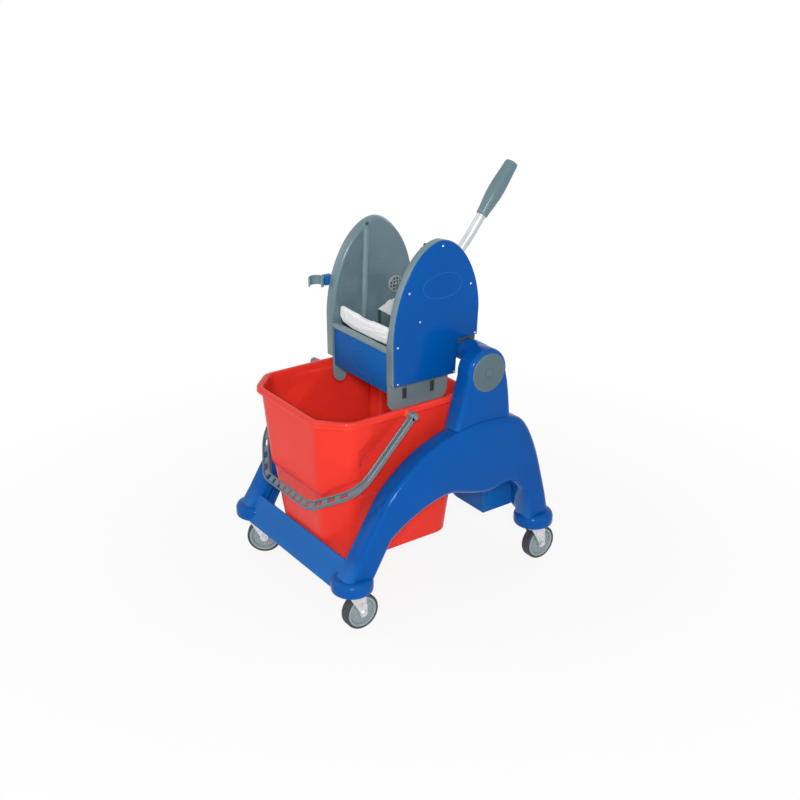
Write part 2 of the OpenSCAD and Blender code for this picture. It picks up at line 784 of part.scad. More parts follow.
module mop_cloth_front() {
    half = jaw_t / 2;
    color(white)
        folded_cloth(-side_in + 3, side_in - 3, jaw_y + half, jaw_top_z, half + 0.6, cloth_drop, 55, 4, 3);
}

module mop_cloth_rear() {
    half = press_t / 2;
    top = press_low + press_h;
    color(white) folded_cloth(-press_x + 4, press_x - 30, press_y + half, top, half + 0.6, 8, 10, 14, 2);
}

// Lever pieces turn about the axle
yoke_x = 62;
yoke_t = 8;
yoke_r = lever_axle_r + 8;
socket_r = lever_r + 4;
socket_l = 62;

module lever_axle() {
    color(zinc) rod(-side_in - side_wall - 10, side_in + side_wall + 10, axle_y, axle_z, lever_axle_r);
}

module along_lever() {
    translate([0, axle_y, axle_z]) rotate([lever_low_angle - 90, 0, 0]) children();
}

module past_bend() {
    along_lever() translate([0, 0, lever_low_l]) rotate([lever_top_angle - lever_low_angle, 0, 0]) children();
}

// Socket for the lever with two arms down to the press plate, keyed on the axle
module lever_yoke() {
    back = press_y + press_t;
    top = press_low + press_h;
    arm = concat([[back, top - 36], [back + 14, top - 20], [axle_y - yoke_r * 0.9, axle_z + yoke_r * 0.4]],
        [for (a = [150 : -20 : -70]) [axle_y + yoke_r * cos(a), axle_z + yoke_r * sin(a)]],
        [[back, top - 62]]);
    color(dark_grey) difference() {
        union() {
            both_sides() slab(arm, yoke_x, yoke_x + yoke_t);
            rod(-yoke_x, yoke_x, axle_y, axle_z, lever_axle_r + 3);
            rod(-22, 22, axle_y, axle_z, yoke_r);
            along_lever() cylinder(h = socket_l, r = socket_r);
        }
        rod(-yoke_x - yoke_t - 1, yoke_x + yoke_t + 1, axle_y, axle_z, lever_axle_r);
        along_lever() translate([0, 0, yoke_r + 4]) cylinder(h = socket_l, r = lever_r);
    }
}

module press_plate() {
    color(dark_grey) difference() {
        block(-press_x, press_x, press_y, press_y + press_t, press_low, press_low + press_h);
        slot_row(press_y - 1, press_y + press_t + 1, press_low + 14, press_low + press_h - 72, press_x - 12);
    }
}

// Bent lever tube
module lever_tube() {
    bend_r = 60;
    bend = lever_top_angle - lever_low_angle;
    cut = bend_r * tan(bend / 2);
    start = yoke_r + 4;
    bore = lever_r - lever_wall;
    color(zinc) difference() {
        union() {
            along_lever() translate([0, 0, start]) cylinder(h = lever_low_l - start, r = lever_r);
            along_lever() translate([0, 0, lever_low_l]) sphere(lever_r);
            past_bend() cylinder(h = lever_top_l - 8, r = lever_r);
        }
        along_lever() translate([0, 0, start - 1]) cylinder(h = lever_low_l - start - cut, r = bore);
        past_bend() translate([0, 0, cut]) cylinder(h = lever_top_l, r = bore);
    }
}

// Grip with a round waist that widens to a flat end
module lever_grip() {
    end = 5;
    low = lever_top_l - grip_l;
    wide = lever_r + 5.5;
    slim = lever_r + 4;
    color(grey) difference() {
        past_bend() translate([0, 0, low]) rotate_extrude() polygon([
            [0, 0], [slim - 1, 0], [slim, 2], [slim + 0.5, grip_l * 0.3], [wide, grip_l * 0.75],
            [wide, grip_l - 4], [wide - 3, grip_l], [0, grip_l]]);
        past_bend() translate([0, 0, low - 1]) cylinder(h = grip_l - end - 2, r = lever_r);
    }
}

// Return spring wound round the axle sleeve
module return_spring() {
    wire = 1.5;
    per_turn = 12;
    coil_r = (lever_axle_r + 3.4) / cos(180 / per_turn) + wire;
    pitch = 4.2;
    start = 24;
    steps = spring_turns * per_turn;
    rings = [for (k = [0 : steps]) let (a = 360 * k / per_turn, x = start + pitch * k / per_turn)
        [for (s = [0 : -60 : -300]) let (r = coil_r + wire * cos(s))
            [x + wire * sin(s), axle_y + r * cos(a), axle_z + r * sin(a)]]];
    color(zinc) loft(rings);
}

arch(-1);  // arch_left
arch(1);  // arch_right
post(-1);  // post_left
post(1);  // post_right
post_caps();
tube_collar(-1);  // tube_collar_left
tube_collar(1);  // tube_collar_right
cross_tube();
front_crossbar();
rear_panel();
rear_tray();
bucket_rails();
caster_stems();
caster_races();
for (i = [0 : 3]) {
    corner_boss(i);
    fork(i);
    axle(i);
    wheel_hub(i);
    tyre(i);
}
bucket();
bail_pins();
bail_handle();
wringer_side(-1);  // wringer_side_left
wringer_side(1);  // wringer_side_right
wringer_cover(-1);  // wringer_cover_left
wringer_cover(1);  // wringer_cover_right
cover_screws();
front_panel();
front_rail();
front_jaw();
back_panel();
drip_grid();
tube_saddles();
axle_bushes();
clip_base();
mop_clip();
mop_cloth_front();
lever_axle();
lever_yoke();
press_plate();
lever_tube();
lever_grip();
return_spring();
mop_cloth_rear();
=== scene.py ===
import json
import math
import bpy
import bmesh
from mathutils import Matrix, Vector, noise


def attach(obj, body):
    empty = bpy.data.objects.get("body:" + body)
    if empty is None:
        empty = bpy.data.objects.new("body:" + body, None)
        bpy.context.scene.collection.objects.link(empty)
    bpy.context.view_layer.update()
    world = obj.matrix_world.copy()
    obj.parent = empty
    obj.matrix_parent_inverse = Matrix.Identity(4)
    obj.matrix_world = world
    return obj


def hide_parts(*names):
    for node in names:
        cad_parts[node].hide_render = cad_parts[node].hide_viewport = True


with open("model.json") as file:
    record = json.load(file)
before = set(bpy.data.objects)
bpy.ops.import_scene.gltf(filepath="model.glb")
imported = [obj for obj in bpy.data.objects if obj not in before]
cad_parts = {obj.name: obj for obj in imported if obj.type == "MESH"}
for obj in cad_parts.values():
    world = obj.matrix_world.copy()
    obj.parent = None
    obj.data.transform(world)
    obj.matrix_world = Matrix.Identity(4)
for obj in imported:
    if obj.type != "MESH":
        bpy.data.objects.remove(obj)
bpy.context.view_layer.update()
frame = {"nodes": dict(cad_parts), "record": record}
nodes = frame["nodes"]
print("frame loaded:", len(nodes), "nodes")

mm = 0.001
sides = {"left": -1, "right": 1}
alongX, alongY, alongZ = (1, 0, 0), (0, 1, 0), (0, 0, 1)


# shader maths as Python expressions
class Sock:
    def __init__(self, tree, socket):
        self.tree = tree
        self.socket = socket

    def node(self, kind, settings, inputs, output=0):
        n = self.tree.nodes.new(kind)
        for key, value in settings.items():
            setattr(n, key, value)
        for key, value in inputs.items():
            if isinstance(value, Sock):
                self.tree.links.new(value.socket, n.inputs[key])
            else:
                n.inputs[key].default_value = value
        return Sock(self.tree, n.outputs[output])

    def math(self, operation, a, b):
        return self.node("ShaderNodeMath", {"operation": operation}, {0: a, 1: b})

    def __add__(self, other):
        return self.math("ADD", self, other)

    def __radd__(self, other):
        return self.math("ADD", other, self)

    def __mul__(self, other):
        return self.math("MULTIPLY", self, other)

    def __rmul__(self, other):
        return self.math("MULTIPLY", other, self)


def newMaterial(name):
    mat = bpy.data.materials.new(name)
    mat.use_nodes = True
    shader = mat.node_tree.nodes["Principled BSDF"]
    place = Sock(mat.node_tree, None).node("ShaderNodeTexCoord", {}, {}, "Object")
    return mat, shader, place


def feed(shader, key, value):
    value.tree.links.new(value.socket, shader.inputs[key])


def cloudy(place, scale, detail=3.0):
    return place.node("ShaderNodeTexNoise", {}, {"Vector": place, "Scale": scale, "Detail": detail})


# a Mix node's colour sockets are 6 and 7, its colour output 2
def tint(place, amount, dark, light):
    return place.node("ShaderNodeMix", {"data_type": "RGBA"}, {0: amount, 6: (*dark, 1), 7: (*light, 1)}, 2)


def spread(value, low, high, outLow, outHigh):
    return value.node("ShaderNodeMapRange", {}, {0: value, 1: low, 2: high, 3: outLow, 4: outHigh})


def bump(place, height, strength, distance):
    return place.node("ShaderNodeBump", {}, {"Strength": strength, "Distance": distance, "Height": height})


def shade(color, k):
    return tuple(min(1.0, c * k) for c in color)


# moulded plastic: soft mottling, fine grain, faint flow marks and a paler colour on sharp convex edges
def mouldedPlastic(name, v):
    mat, shader, place = newMaterial(name)
    mottle = cloudy(place, v["mottleScale"])
    grain = cloudy(place, v["grainScale"], 2.0)
    flow = place.node("ShaderNodeTexWave", {"bands_direction": "Z"},
                      {"Vector": place, "Scale": 3.0, "Distortion": 9.0, "Detail": 2.0})
    edge = place.node("ShaderNodeNewGeometry", {}, {}, "Pointiness")
    rub = spread(edge, 0.52, 0.6, 0.0, v["rub"])
    body = tint(place, spread(mottle, 0.3, 0.7, 0.0, 1.0), shade(v["color"], 0.93), shade(v["color"], 1.06))
    paleEdged = place.node("ShaderNodeMix", {"data_type": "RGBA"}, {0: rub, 6: body, 7: (*v["edgeColor"], 1)}, 2)
    feed(shader, "Base Color", paleEdged)
    feed(shader, "Roughness", spread(mottle + 0.25 * flow, 0.3, 1.0, v["rough"] - 0.05, v["rough"] + 0.07))
    feed(shader, "Normal", bump(place, grain + 0.3 * flow, v["grain"], 0.0006))
    shader.inputs["IOR"].default_value = 1.49
    shader.inputs["Specular IOR Level"].default_value = v["gloss"]
    return mat


# plated or bare metal: spangled tone with drawn streaks
def streakedMetal(name, v):
    mat, shader, place = newMaterial(name)
    spangle = place.node("ShaderNodeTexVoronoi", {}, {"Vector": place, "Scale": v["spangle"]}, "Color")
    tone = place.node("ShaderNodeSeparateColor", {}, {"Color": spangle}, 0)
    drawn = place.node("ShaderNodeMapping", {}, {"Vector": place, "Scale": v["streak"]})
    streak = cloudy(drawn, 60.0)
    patches = spread(tone + streak, 0.4, 1.4, 0.0, 1.0)
    feed(shader, "Base Color", tint(place, patches, shade(v["color"], 0.82), shade(v["color"], 1.08)))
    feed(shader, "Roughness", spread(streak, 0.3, 0.7, v["rough"] - 0.08, v["rough"] + 0.08))
    feed(shader, "Normal", bump(place, streak, 0.15, 0.0004))
    shader.inputs["Metallic"].default_value = 1.0
    return mat


def tyreRubber(name, v):
    mat, shader, place = newMaterial(name)
    dust = cloudy(place, 45.0)
    grain = cloudy(place, 1400.0, 2.0)
    feed(shader, "Base Color", tint(place, spread(dust, 0.35, 0.75, 0.0, 1.0), v["color"], shade(v["color"], 1.5)))
    feed(shader, "Roughness", spread(dust, 0.3, 0.7, 0.55, 0.75))
    feed(shader, "Normal", bump(place, grain, 0.2, 0.0004))
    return mat


# looped cotton on the cloth's own UV map
def cottonCloth(name, v):
    mat, shader, place = newMaterial(name)
    uv = place.node("ShaderNodeTexCoord", {}, {}, "UV")
    threads = {"Vector": uv, "Scale": v["threads"], "Distortion": 1.5}
    weft = place.node("ShaderNodeTexWave", {"bands_direction": "X"}, threads)
    warp = place.node("ShaderNodeTexWave", {"bands_direction": "Y"}, threads)
    weave = weft * warp
    fuzz = cloudy(place, 600.0)
    stain = cloudy(place, 22.0)
    used = spread(weave + 0.6 * fuzz + 0.6 * stain, 0.3, 1.2, 0.0, 1.0)
    feed(shader, "Base Color", tint(place, used, shade(v["color"], 0.95), v["color"]))
    feed(shader, "Roughness", spread(fuzz, 0.3, 0.7, 0.85, 0.98))
    feed(shader, "Normal", bump(place, weave + 0.5 * fuzz, 0.5, 0.0008))
    shader.inputs["Sheen Weight"].default_value = 0.3
    return mat


moulded = {"rub": 0.5, "grain": 0.03, "grainScale": 900.0, "mottleScale": 9.0}  # what the plastics share
blue = {**moulded, "color": (0.0, 0.082, 0.355), "edgeColor": (0.03, 0.2, 0.56), "mottleScale": 7.0}
finishes = {
    "blue_plastic": {**blue, "rough": 0.19, "gloss": 0.1},
    "matt_blue_plastic": {**blue, "rough": 0.4, "gloss": 0.03},
    "red_plastic": {**moulded, "color": (0.83, 0.036, 0.022), "edgeColor": (0.86, 0.15, 0.1),
        "rough": 0.24, "gloss": 0.13, "mottleScale": 6.0},
    "grey_plastic": {**moulded, "color": (0.132, 0.212, 0.246), "edgeColor": (0.25, 0.34, 0.37),
        "rough": 0.25, "gloss": 0.34, "rub": 0.6},
    # darker copy of the grey plastic: painted shade on the bail and the post caps
    "deep_grey_plastic": {**moulded, "color": (0.088, 0.14, 0.165), "edgeColor": (0.19, 0.26, 0.29),
        "rough": 0.3, "gloss": 0.3, "rub": 0.6},
    "dark_plastic": {**moulded, "color": (0.03, 0.045, 0.055), "edgeColor": (0.1, 0.13, 0.14),
        "rough": 0.44, "gloss": 0.25, "grain": 0.04},
    "hub_plastic": {**moulded, "color": (0.26, 0.32, 0.34), "edgeColor": (0.4, 0.46, 0.48),
        "rough": 0.4, "gloss": 0.3, "grain": 0.04, "mottleScale": 20.0},
    "tyre_rubber": {"color": (0.03, 0.036, 0.04)},
    "zinc_steel": {"color": (0.68, 0.69, 0.7), "rough": 0.34, "spangle": 160.0, "streak": (1.0, 1.0, 0.2)},
    "bare_aluminium": {"color": (0.6, 0.62, 0.63), "rough": 0.3, "spangle": 12.0, "streak": (1.0, 0.2, 0.2)},
    "white_cloth": {"color": (0.97, 0.98, 0.99), "threads": 60.0},
}
makers = {"tyre_rubber": tyreRubber, "white_cloth": cottonCloth, "zinc_steel": streakedMetal,
    "bare_aluminium": streakedMetal}
finish = {slotName: makers.get(slotName, mouldedPlastic)(slotName, v) for slotName, v in finishes.items()}
slotOf = {s["node"]: s["material_slot"] for s in frame["record"]["subparts"]}
for name, obj in nodes.items():
    obj.data.materials.clear()
    obj.data.materials.append(finish[slotOf[name]])
print("finishes made:", len(finish))


# mesh in millimetres becomes a piece that rides on a body; look is a finish other than the slot's own
def addPiece(name, bm, body, slotName, instead=(), smooth=38.0, tidy=True, look=None):
    if tidy:
        bmesh.ops.remove_doubles(bm, verts=bm.verts, dist=0.01)
        bmesh.ops.recalc_face_normals(bm, faces=bm.faces)
    bmesh.ops.scale(bm, vec=(mm, mm, mm), verts=bm.verts)
    mesh = bpy.data.meshes.new(name)
    bm.to_mesh(mesh)
    bm.free()
    mesh.shade_smooth()
    mesh.set_sharp_from_angle(angle=math.radians(smooth))
    obj = bpy.data.objects.new(name, mesh)
    bpy.context.collection.objects.link(obj)
    mesh.materials.append(finish[look or slotName])
    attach(obj, body)
    if instead:
        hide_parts(*instead)
    return obj


def closedLoop(bm, points):
    vs = [bm.verts.new(p) for p in points]
    return [bm.edges.new((vs[i], vs[(i + 1) % len(vs)])) for i in range(len(vs))]


# skin through closed loops of equal length, capped at both ends
def skin(bm, rings):
    loops = [closedLoop(bm, r) for r in rings]
    for a, b in zip(loops, loops[1:]):
        bmesh.ops.bridge_loops(bm, edges=a + b)
    for end in (loops[0], loops[-1]):
        bmesh.ops.contextual_create(bm, geom=end)


# half profile of [radius, along] points spun about an axis through cent
def lathe(bm, profile, cent, axis, across, steps=72):
    axis, across, cent = Vector(axis), Vector(across), Vector(cent)
    vs = [bm.verts.new(cent + across * r + axis * h) for r, h in profile]
    edges = [bm.edges.new(p) for p in zip(vs, vs[1:])]
    bmesh.ops.spin(bm, geom=vs + edges, cent=cent, axis=axis, angle=math.tau, steps=steps, use_merge=True)


def easeEdges(bm, edges, ease):
    bmesh.ops.bevel(bm, geom=edges, offset=ease, affect="EDGES", segments=2, profile=0.5, material=-1,
                    clamp_overlap=True)


# block with eased edges between two corners
def easedBlock(bm, low, high, ease):
    cube = bmesh.ops.create_cube(bm, size=1.0)["verts"]
    bmesh.ops.scale(bm, vec=[q - p for p, q in zip(low, high)], verts=cube)
    bmesh.ops.translate(bm, vec=[(p + q) / 2 for p, q in zip(low, high)], verts=cube)
    easeEdges(bm, list({e for v in cube for e in v.link_edges}), ease)


def turn(bm, verts, angle, axis):
    bmesh.ops.rotate(bm, cent=(0, 0, 0), matrix=Matrix.Rotation(angle, 3, axis), verts=verts)


# curve through the points, n steps to each stretch
def smoothRun(points, n):
    p = [Vector(q) for q in points]
    out = []
    for i in range(len(p) - 1):
        a, b, c, d = p[max(i - 1, 0)], p[i], p[i + 1], p[min(i + 2, len(p) - 1)]
        for k in range(n):
            t = k / n
            out.append(0.5 * (2 * b + (c - a) * t + (2 * a - 5 * b + 4 * c - d) * t * t
                              + (3 * b - a - 3 * c + d) * t ** 3))
    return out + [p[-1]]


# smooth run whose first and last stretches stay straight
def runEnds(points, n):
    return [Vector(points[0])] + smoothRun(points[1:-1], n) + [Vector(points[-1])]


def smoothStep(t):
    t = min(1.0, max(0.0, t))
    return t * t * (3 - 2 * t)


def cornerCurve(a, p, b, t):
    return (1 - t) ** 2 * a + 2 * t * (1 - t) * p + t * t * b


def arcPoints(center, radius, first, last, steps):
    turns = [math.radians(first + (last - first) * k / steps) for k in range(steps + 1)]
    return [(center[0] + radius * math.cos(t), center[1] + radius * math.sin(t)) for t in turns]


# pieces are modelled on the right and mirrored for the left
def toSide(bm, side):
    if sides[side] < 0:
        bmesh.ops.scale(bm, vec=(-1, 1, 1), verts=bm.verts)
        bmesh.ops.reverse_faces(bm, faces=bm.faces)


def inward(a, b):
    d = (b - a).normalized()
    return Vector((d.y, -d.x))


# clockwise outline moved inwards, by one depth or a depth for each point
def insetOutline(points, depth):
    n = len(points)
    out = []
    for i in range(n):
        d = depth[i] if isinstance(depth, list) else depth
        u, w = inward(points[i - 1], points[i]), inward(points[i], points[(i + 1) % n])
        out.append(points[i] + (u + w) * d / (1 + u.dot(w)))
    return out


def roundedSides(x0, x1, r0, r1, steps):
    quarter = [math.pi / 2 * k / steps for k in range(steps + 1)]
    near = [(x0 + r0 * (1 - math.cos(t)), r0 * (1 - math.sin(t))) for t in quarter]
    far = [(x1 - r1 * (1 - math.cos(t)), r1 * (1 - math.sin(t))) for t in reversed(quarter)]
    return near + far


# shell across X through insets of a Y-Z outline: pairs of x and inset
def outlineShell(bm, outline, pairs):
    skin(bm, [[(x, q.x, q.y) for q in insetOutline(outline, d)] for x, d in pairs])


# side arch as in the part's source: outline over the top, then back along the lower edge
archShape = {"inner": 175.0, "outer": 231.0, "round": 16.0, "wall": 5.0, "rim": 28.0, "rimEase": 1.5,
    "over": [(-288, 112), (-252, 162), (-200, 245), (-168, 292), (-119, 335), (-64, 368), (9, 392), (79, 400),
             (157, 391), (195, 368), (230, 296), (264, 178), (278, 112)],
    "under": [(213, 112), (197, 200), (160, 234), (94, 229), (52, 237), (-11, 254), (-69, 243), (-121, 220),
              (-162, 194), (-210, 112)]}


def makeArch(side, v):
    outline = runEnds(v["over"], 6) + runEnds(v["under"], 6)
    rim, ease = v["rim"], v["rimEase"]
    hollow = [(v["outer"] - v["wall"], rim), (v["inner"] + ease, rim), (v["inner"], rim - ease)]
    bm = bmesh.new()
    outlineShell(bm, outline, hollow + roundedSides(v["inner"], v["outer"], v["round"], v["round"], 6))
    toSide(bm, side)
    addPiece("archShell_" + side, bm, "frame", "blue_plastic", ["arch_" + side])


postShape = {"inner": 175.0, "outer": 219.0, "innerRound": 4.0, "round": 11.0, "center": (90.0, 507.0), "radius": 51.0,
    "front": [(4, 372), (12, 405), (22, 440), (31.5, 475)], "rear": [(147, 475), (152, 440), (155.5, 405), (157, 372)]}


def makePost(side, v):
    head = arcPoints(v["center"], v["radius"], 186, -6, 32)
    outline = [Vector(q) for q in v["front"] + head + v["rear"]]
    bm = bmesh.new()
    outlineShell(bm, outline, roundedSides(v["inner"], v["outer"], v["innerRound"], v["round"], 5))
    toSide(bm, side)
    addPiece("postShell_" + side, bm, "frame", "blue_plastic", ["post_" + side])


for side in sides:
    makeArch(side, archShape)
    makePost(side, postShape)
print("arches made")

sharpAngle = math.radians(32.0)
# the front jaw takes dark plastic as painted shade in the gap under the front cloth; the tube saddles are black plastic
# and the press plate grey
otherSlot = {"front_jaw": "dark_plastic", "press_plate": "grey_plastic", "tube_saddles": "dark_plastic"}
easedNodes = {
    "rear_panel": 2.5, "rear_tray": 2.5, "bucket_rails": 1.5, "cross_tube": 1.0,
    "tube_collar_left": 1.5, "tube_collar_right": 1.5,
    "fork_fl": 0.7, "fork_fr": 0.7, "fork_rl": 0.7, "fork_rr": 0.7,
    "axle_fl": 0.5, "axle_fr": 0.5, "axle_rl": 0.5, "axle_rr": 0.5,
    "caster_stems": 0.4, "caster_races": 0.6, "bail_pins": 0.8,
    "front_rail": 1.8, "front_jaw": 1.2, "back_panel": 1.0, "drip_grid": 0.8, "tube_saddles": 1.2,
    "lever_yoke": 1.2, "press_plate": 1.2}


# a CAD node's own shape with its sharp edges eased
def softCopy(node, ease):
    bm = bmesh.new()
    bm.from_mesh(nodes[node].data)
    bmesh.ops.scale(bm, vec=(1 / mm, 1 / mm, 1 / mm), verts=bm.verts)
    bmesh.ops.remove_doubles(bm, verts=bm.verts, dist=0.005)
    bmesh.ops.dissolve_limit(bm, angle_limit=math.radians(1.0), verts=bm.verts, edges=bm.edges)
    easeEdges(bm, [e for e in bm.edges if len(e.link_faces) == 2 and e.calc_face_angle(0) > sharpAngle], ease)
    body = next(b for b, group in frame["record"]["behaviour"]["bodies"].items() if node in group)
    obj = addPiece(node + "_eased", bm, body, otherSlot.get(node, slotOf[node]), [node], tidy=False)
    flat = obj.modifiers.new("flatFaces", "WEIGHTED_NORMAL")
    flat.keep_sharp = True


for node, ease in easedNodes.items():
    softCopy(node, ease)
print("eased copies made:", len(easedNodes))


# plate across X with holes through it
def punchedPlate(bm, outline, holes, x0, x1):
    edges = []
    for ring in [outline] + holes:
        edges += closedLoop(bm, [(x0, y, z) for y, z in ring])
    filled = bmesh.ops.triangle_fill(bm, use_beauty=True, edges=edges)["geom"]
    faces = [g for g in filled if isinstance(g, bmesh.types.BMFace)]
    far = bmesh.ops.extrude_face_region(bm, geom=faces, use_keep_orig=True)["geom"]
    bmesh.ops.translate(bm, vec=(x1 - x0, 0, 0), verts=[g for g in far if isinstance(g, bmesh.types.BMVert)])


# wringer side: a pointed arch with its inner edge rounded above the rail, and a skirt plate below it
sideShape = {"inner": 103.0, "outer": 126.0, "front": -90.0, "rear": 134.0, "low": 484.0, "lowRear": 480.0,
    "sill": 557.0, "top": 780.5, "apex": 33.0, "power": 1.87, "frontShoulder": 575.0, "rearShoulder": 620.0,
    "uprights": (530.0, 552.0, 566.0), "heel": 590.0, "notch": 76.0, "round": 8.0, "roundFrom": 566.0, "roundRise": 44.0,
    "rearTaper": 5.0, "taperRun": 30.0, "rib": ((-6.4, 561.0), (2.4, 759.0), 6.8), "recess": 2.0, "recessRun": 12.0,
    "lips": (1.2, 2.4, 0.4), "edge": 0.8, "cover": 129.0, "coverInset": 1.4, "coverEdge": (2.0, 3.2)}
skirtFront = [(-88.5, 486.0)] + arcPoints((-66.5, 443.0), 22.0, 180, 270, 10)
skirtShape = {
    "right": skirtFront + [(42.0, 421.0)] + arcPoints((44.0, 444.0), 23.0, -80, -8, 8) + [(70.0, 486.0)],
    "left": skirtFront + [(-60.0, 424.0), (-54.0, 438.0), (38.0, 438.0)] + arcPoints((50.0, 455.0), 17.0, -90, -8, 6)
        + [(70.0, 486.0)],
    # slotDepth, backThick, backMargin, hole and holeFlat place the dark pieces that paint shade in the slots and the
    # rib's hole
    "slots": [(-52.0, -39.0), (21.0, 34.0)], "slotHeights": (443.0, 473.0), "thick": 3.5,
    "slotDepth": 4.0, "backThick": 1.5, "backMargin": 3.0, "hole": (104.6, 5.9, 769.6, 4.0), "holeFlat": 0.5}


def sideOutline(v):
    def oval(half, base, angle):
        a = math.radians(angle)
        c, d = math.cos(a), math.sin(a)
        return (v["apex"] + half * math.copysign(abs(c) ** (2 / v["power"]), c),
                base + (v["top"] - base) * d ** (2 / v["power"]))
    upright = [(v["front"], z) for z in (v["low"], *v["uprights"])]
    front = [oval(v["apex"] - v["front"], v["frontShoulder"], a) for a in range(180, 89, -3)]
    rear = [oval(v["rear"] - v["apex"], v["rearShoulder"], a) for a in range(87, -1, -3)]
    foot = [(v["rear"] - 1.5, v["heel"]), (v["rear"] - 3, v["sill"]), (v["notch"] + 2, v["sill"]),
            (v["notch"] - 2, v["lowRear"])]
    return [Vector(q) for q in upright + front + rear + foot]


def makeSide(side, v, w):
    outline = sideOutline(v)
    inner, outer, edge = v["inner"], v["outer"], v["edge"]
    soft = [smoothStep((q.y - v["roundFrom"]) / v["roundRise"]) for q in outline]
    turns = [1.0 + v["round"] * k for k in soft]
    taper = [v["rearTaper"] * k * smoothStep((q.x - v["apex"]) / v["taperRun"]) for q, k in zip(outline, soft)]
    (y0, z0), (y1, z1), r = v["rib"]
    ahead = [smoothStep((y0 - r - q.x) / v["recessRun"]) * k for q, k in zip(outline, soft)]
    lip, recessLip, edgeLip = v["lips"]
    # the second row stands 0.1 higher, because bridge_loops can twist between loops in one plane
    rows = [([inner + v["recess"] * f for f in ahead],
             [q + k + lip + recessLip * f for q, k, f in zip(turns, taper, ahead)]),
            ([inner + 0.1] * len(soft), [q + k + edgeLip for q, k in zip(turns, taper)])]
    for k in range(7):
        t = math.pi / 12 * k
        rows.append(([inner + q * (1 - math.cos(t)) for q in turns],
                     [q * (1 - math.sin(t)) + e for q, e in zip(turns, taper)]))
    rows += [([outer - edge] * len(soft), 0.0), ([outer] * len(soft), edge)]
    bm = bmesh.new()
    skin(bm, [[(x, q.x, q.y) for x, q in zip(xs, insetOutline(outline, depth))] for xs, depth in rows])
    length, lean = math.hypot(y1 - y0, z1 - z0), math.atan2(y1 - y0, z1 - z0)
    rib = bmesh.ops.create_cone(bm, cap_ends=True, segments=32, radius1=r, radius2=r, depth=length)["verts"]
    turn(bm, rib, -lean, "X")
    bmesh.ops.translate(bm, vec=(inner, (y0 + y1) / 2, (z0 + z1) / 2), verts=rib)
    knob = bmesh.ops.create_uvsphere(bm, u_segments=32, v_segments=16, radius=r)["verts"]
    bmesh.ops.translate(bm, vec=(inner, y1, z1), verts=knob)
    low, high = w["slotHeights"]
    holes = [[(a, low), (b, low), (b, high), (a, high)] for a, b in w["slots"]]
    punchedPlate(bm, w[side], holes, inner, inner + w["thick"])
    bmesh.ops.recalc_face_normals(bm, faces=bm.faces)
    toSide(bm, side)
    addPiece("sideShell_" + side, bm, "wringer", "grey_plastic", ["wringer_side_" + side], tidy=False)


# dark blocks behind the slots and a dark bead in the small hole at the rib's top, painted shade where these openings
# lie in shadow
def makePaintedSlotShade(side, v, w):
    bm = bmesh.new()
    low, high = w["slotHeights"]
    face, more = v["inner"] - w["slotDepth"], w["backMargin"]
    for a, b in w["slots"]:
        easedBlock(bm, (face - w["backThick"], a - more, low - more), (face, b + more, high + more), 0.4)
    x, y, z, r = w["hole"]
    bead = bmesh.ops.create_uvsphere(bm, u_segments=20, v_segments=12, radius=r)["verts"]
    bmesh.ops.scale(bm, vec=(w["holeFlat"], 1, 1), verts=bead)
    bmesh.ops.translate(bm, vec=(x, y, z), verts=bead)
    toSide(bm, side)
    addPiece("paintedSlotShade_" + side, bm, "wringer", "dark_plastic")


def makeCover(side, v):
    bm = bmesh.new()
    deep, broad = v["coverEdge"]
    base, root = v["coverInset"], v["outer"]
    turns = [math.pi / 10 * k for k in range(6)]
    rounded = [(v["cover"] - deep * (1 - math.sin(t)), base + broad * (1 - math.cos(t))) for t in turns]
    outlineShell(bm, sideOutline(v), [(root + 0.1, base + 0.6), (root + 0.5, base + 0.1)] + rounded)
    toSide(bm, side)
    addPiece("coverPlate_" + side, bm, "wringer", "blue_plastic", ["wringer_cover_" + side])


for side in sides:
    makeSide(side, sideShape, skirtShape)
    makePaintedSlotShade(side, sideShape, skirtShape)
    makeCover(side, sideShape)
print("wringer sides and covers made")

panelShape = {"low": (-102.8, -85.4, 462.0), "high": (102.8, -80.4, 552.0), "ease": 1.2}
screwShape = {"radius": 2.5, "rise": 1.2, "face": 129.0,
    "places": [(34, 768), (-50, 682), (109, 675), (-23, 616), (-79, 571), (-79, 490), (68, 486), (123, 563)]}
ovalShape = {"cover": ((35.0, 684.0), (50.0, 27.0)), "panel": ((8.0, 505.0), (44.0, 27.0)),
    "width": 1.5, "rise": 0.35, "root": -0.4, "steps": 96, "face": 129.0, "panelFace": -85.4}
pressGapShade = {"low": (-95.8, 27.4, 486.0), "high": (-84.5, 34.6, 573.5), "ease": 0.8}


def makePanel(v):
    bm = bmesh.new()
    easedBlock(bm, v["low"], v["high"], v["ease"])
    addPiece("frontPanel", bm, "wringer", "blue_plastic", ["front_panel"], look="matt_blue_plastic")


def makeScrews(v):
    bm = bmesh.new()
    for s in sides.values():
        for y, z in v["places"]:
            head = bmesh.ops.create_uvsphere(bm, u_segments=20, v_segments=10, radius=1.0)["verts"]
            bmesh.ops.scale(bm, vec=(v["rise"], v["radius"], v["radius"]), verts=head)
            bmesh.ops.translate(bm, vec=(s * v["face"], y, z), verts=head)
    addPiece("screwHeads", bm, "wringer", "zinc_steel", ["cover_screws"])


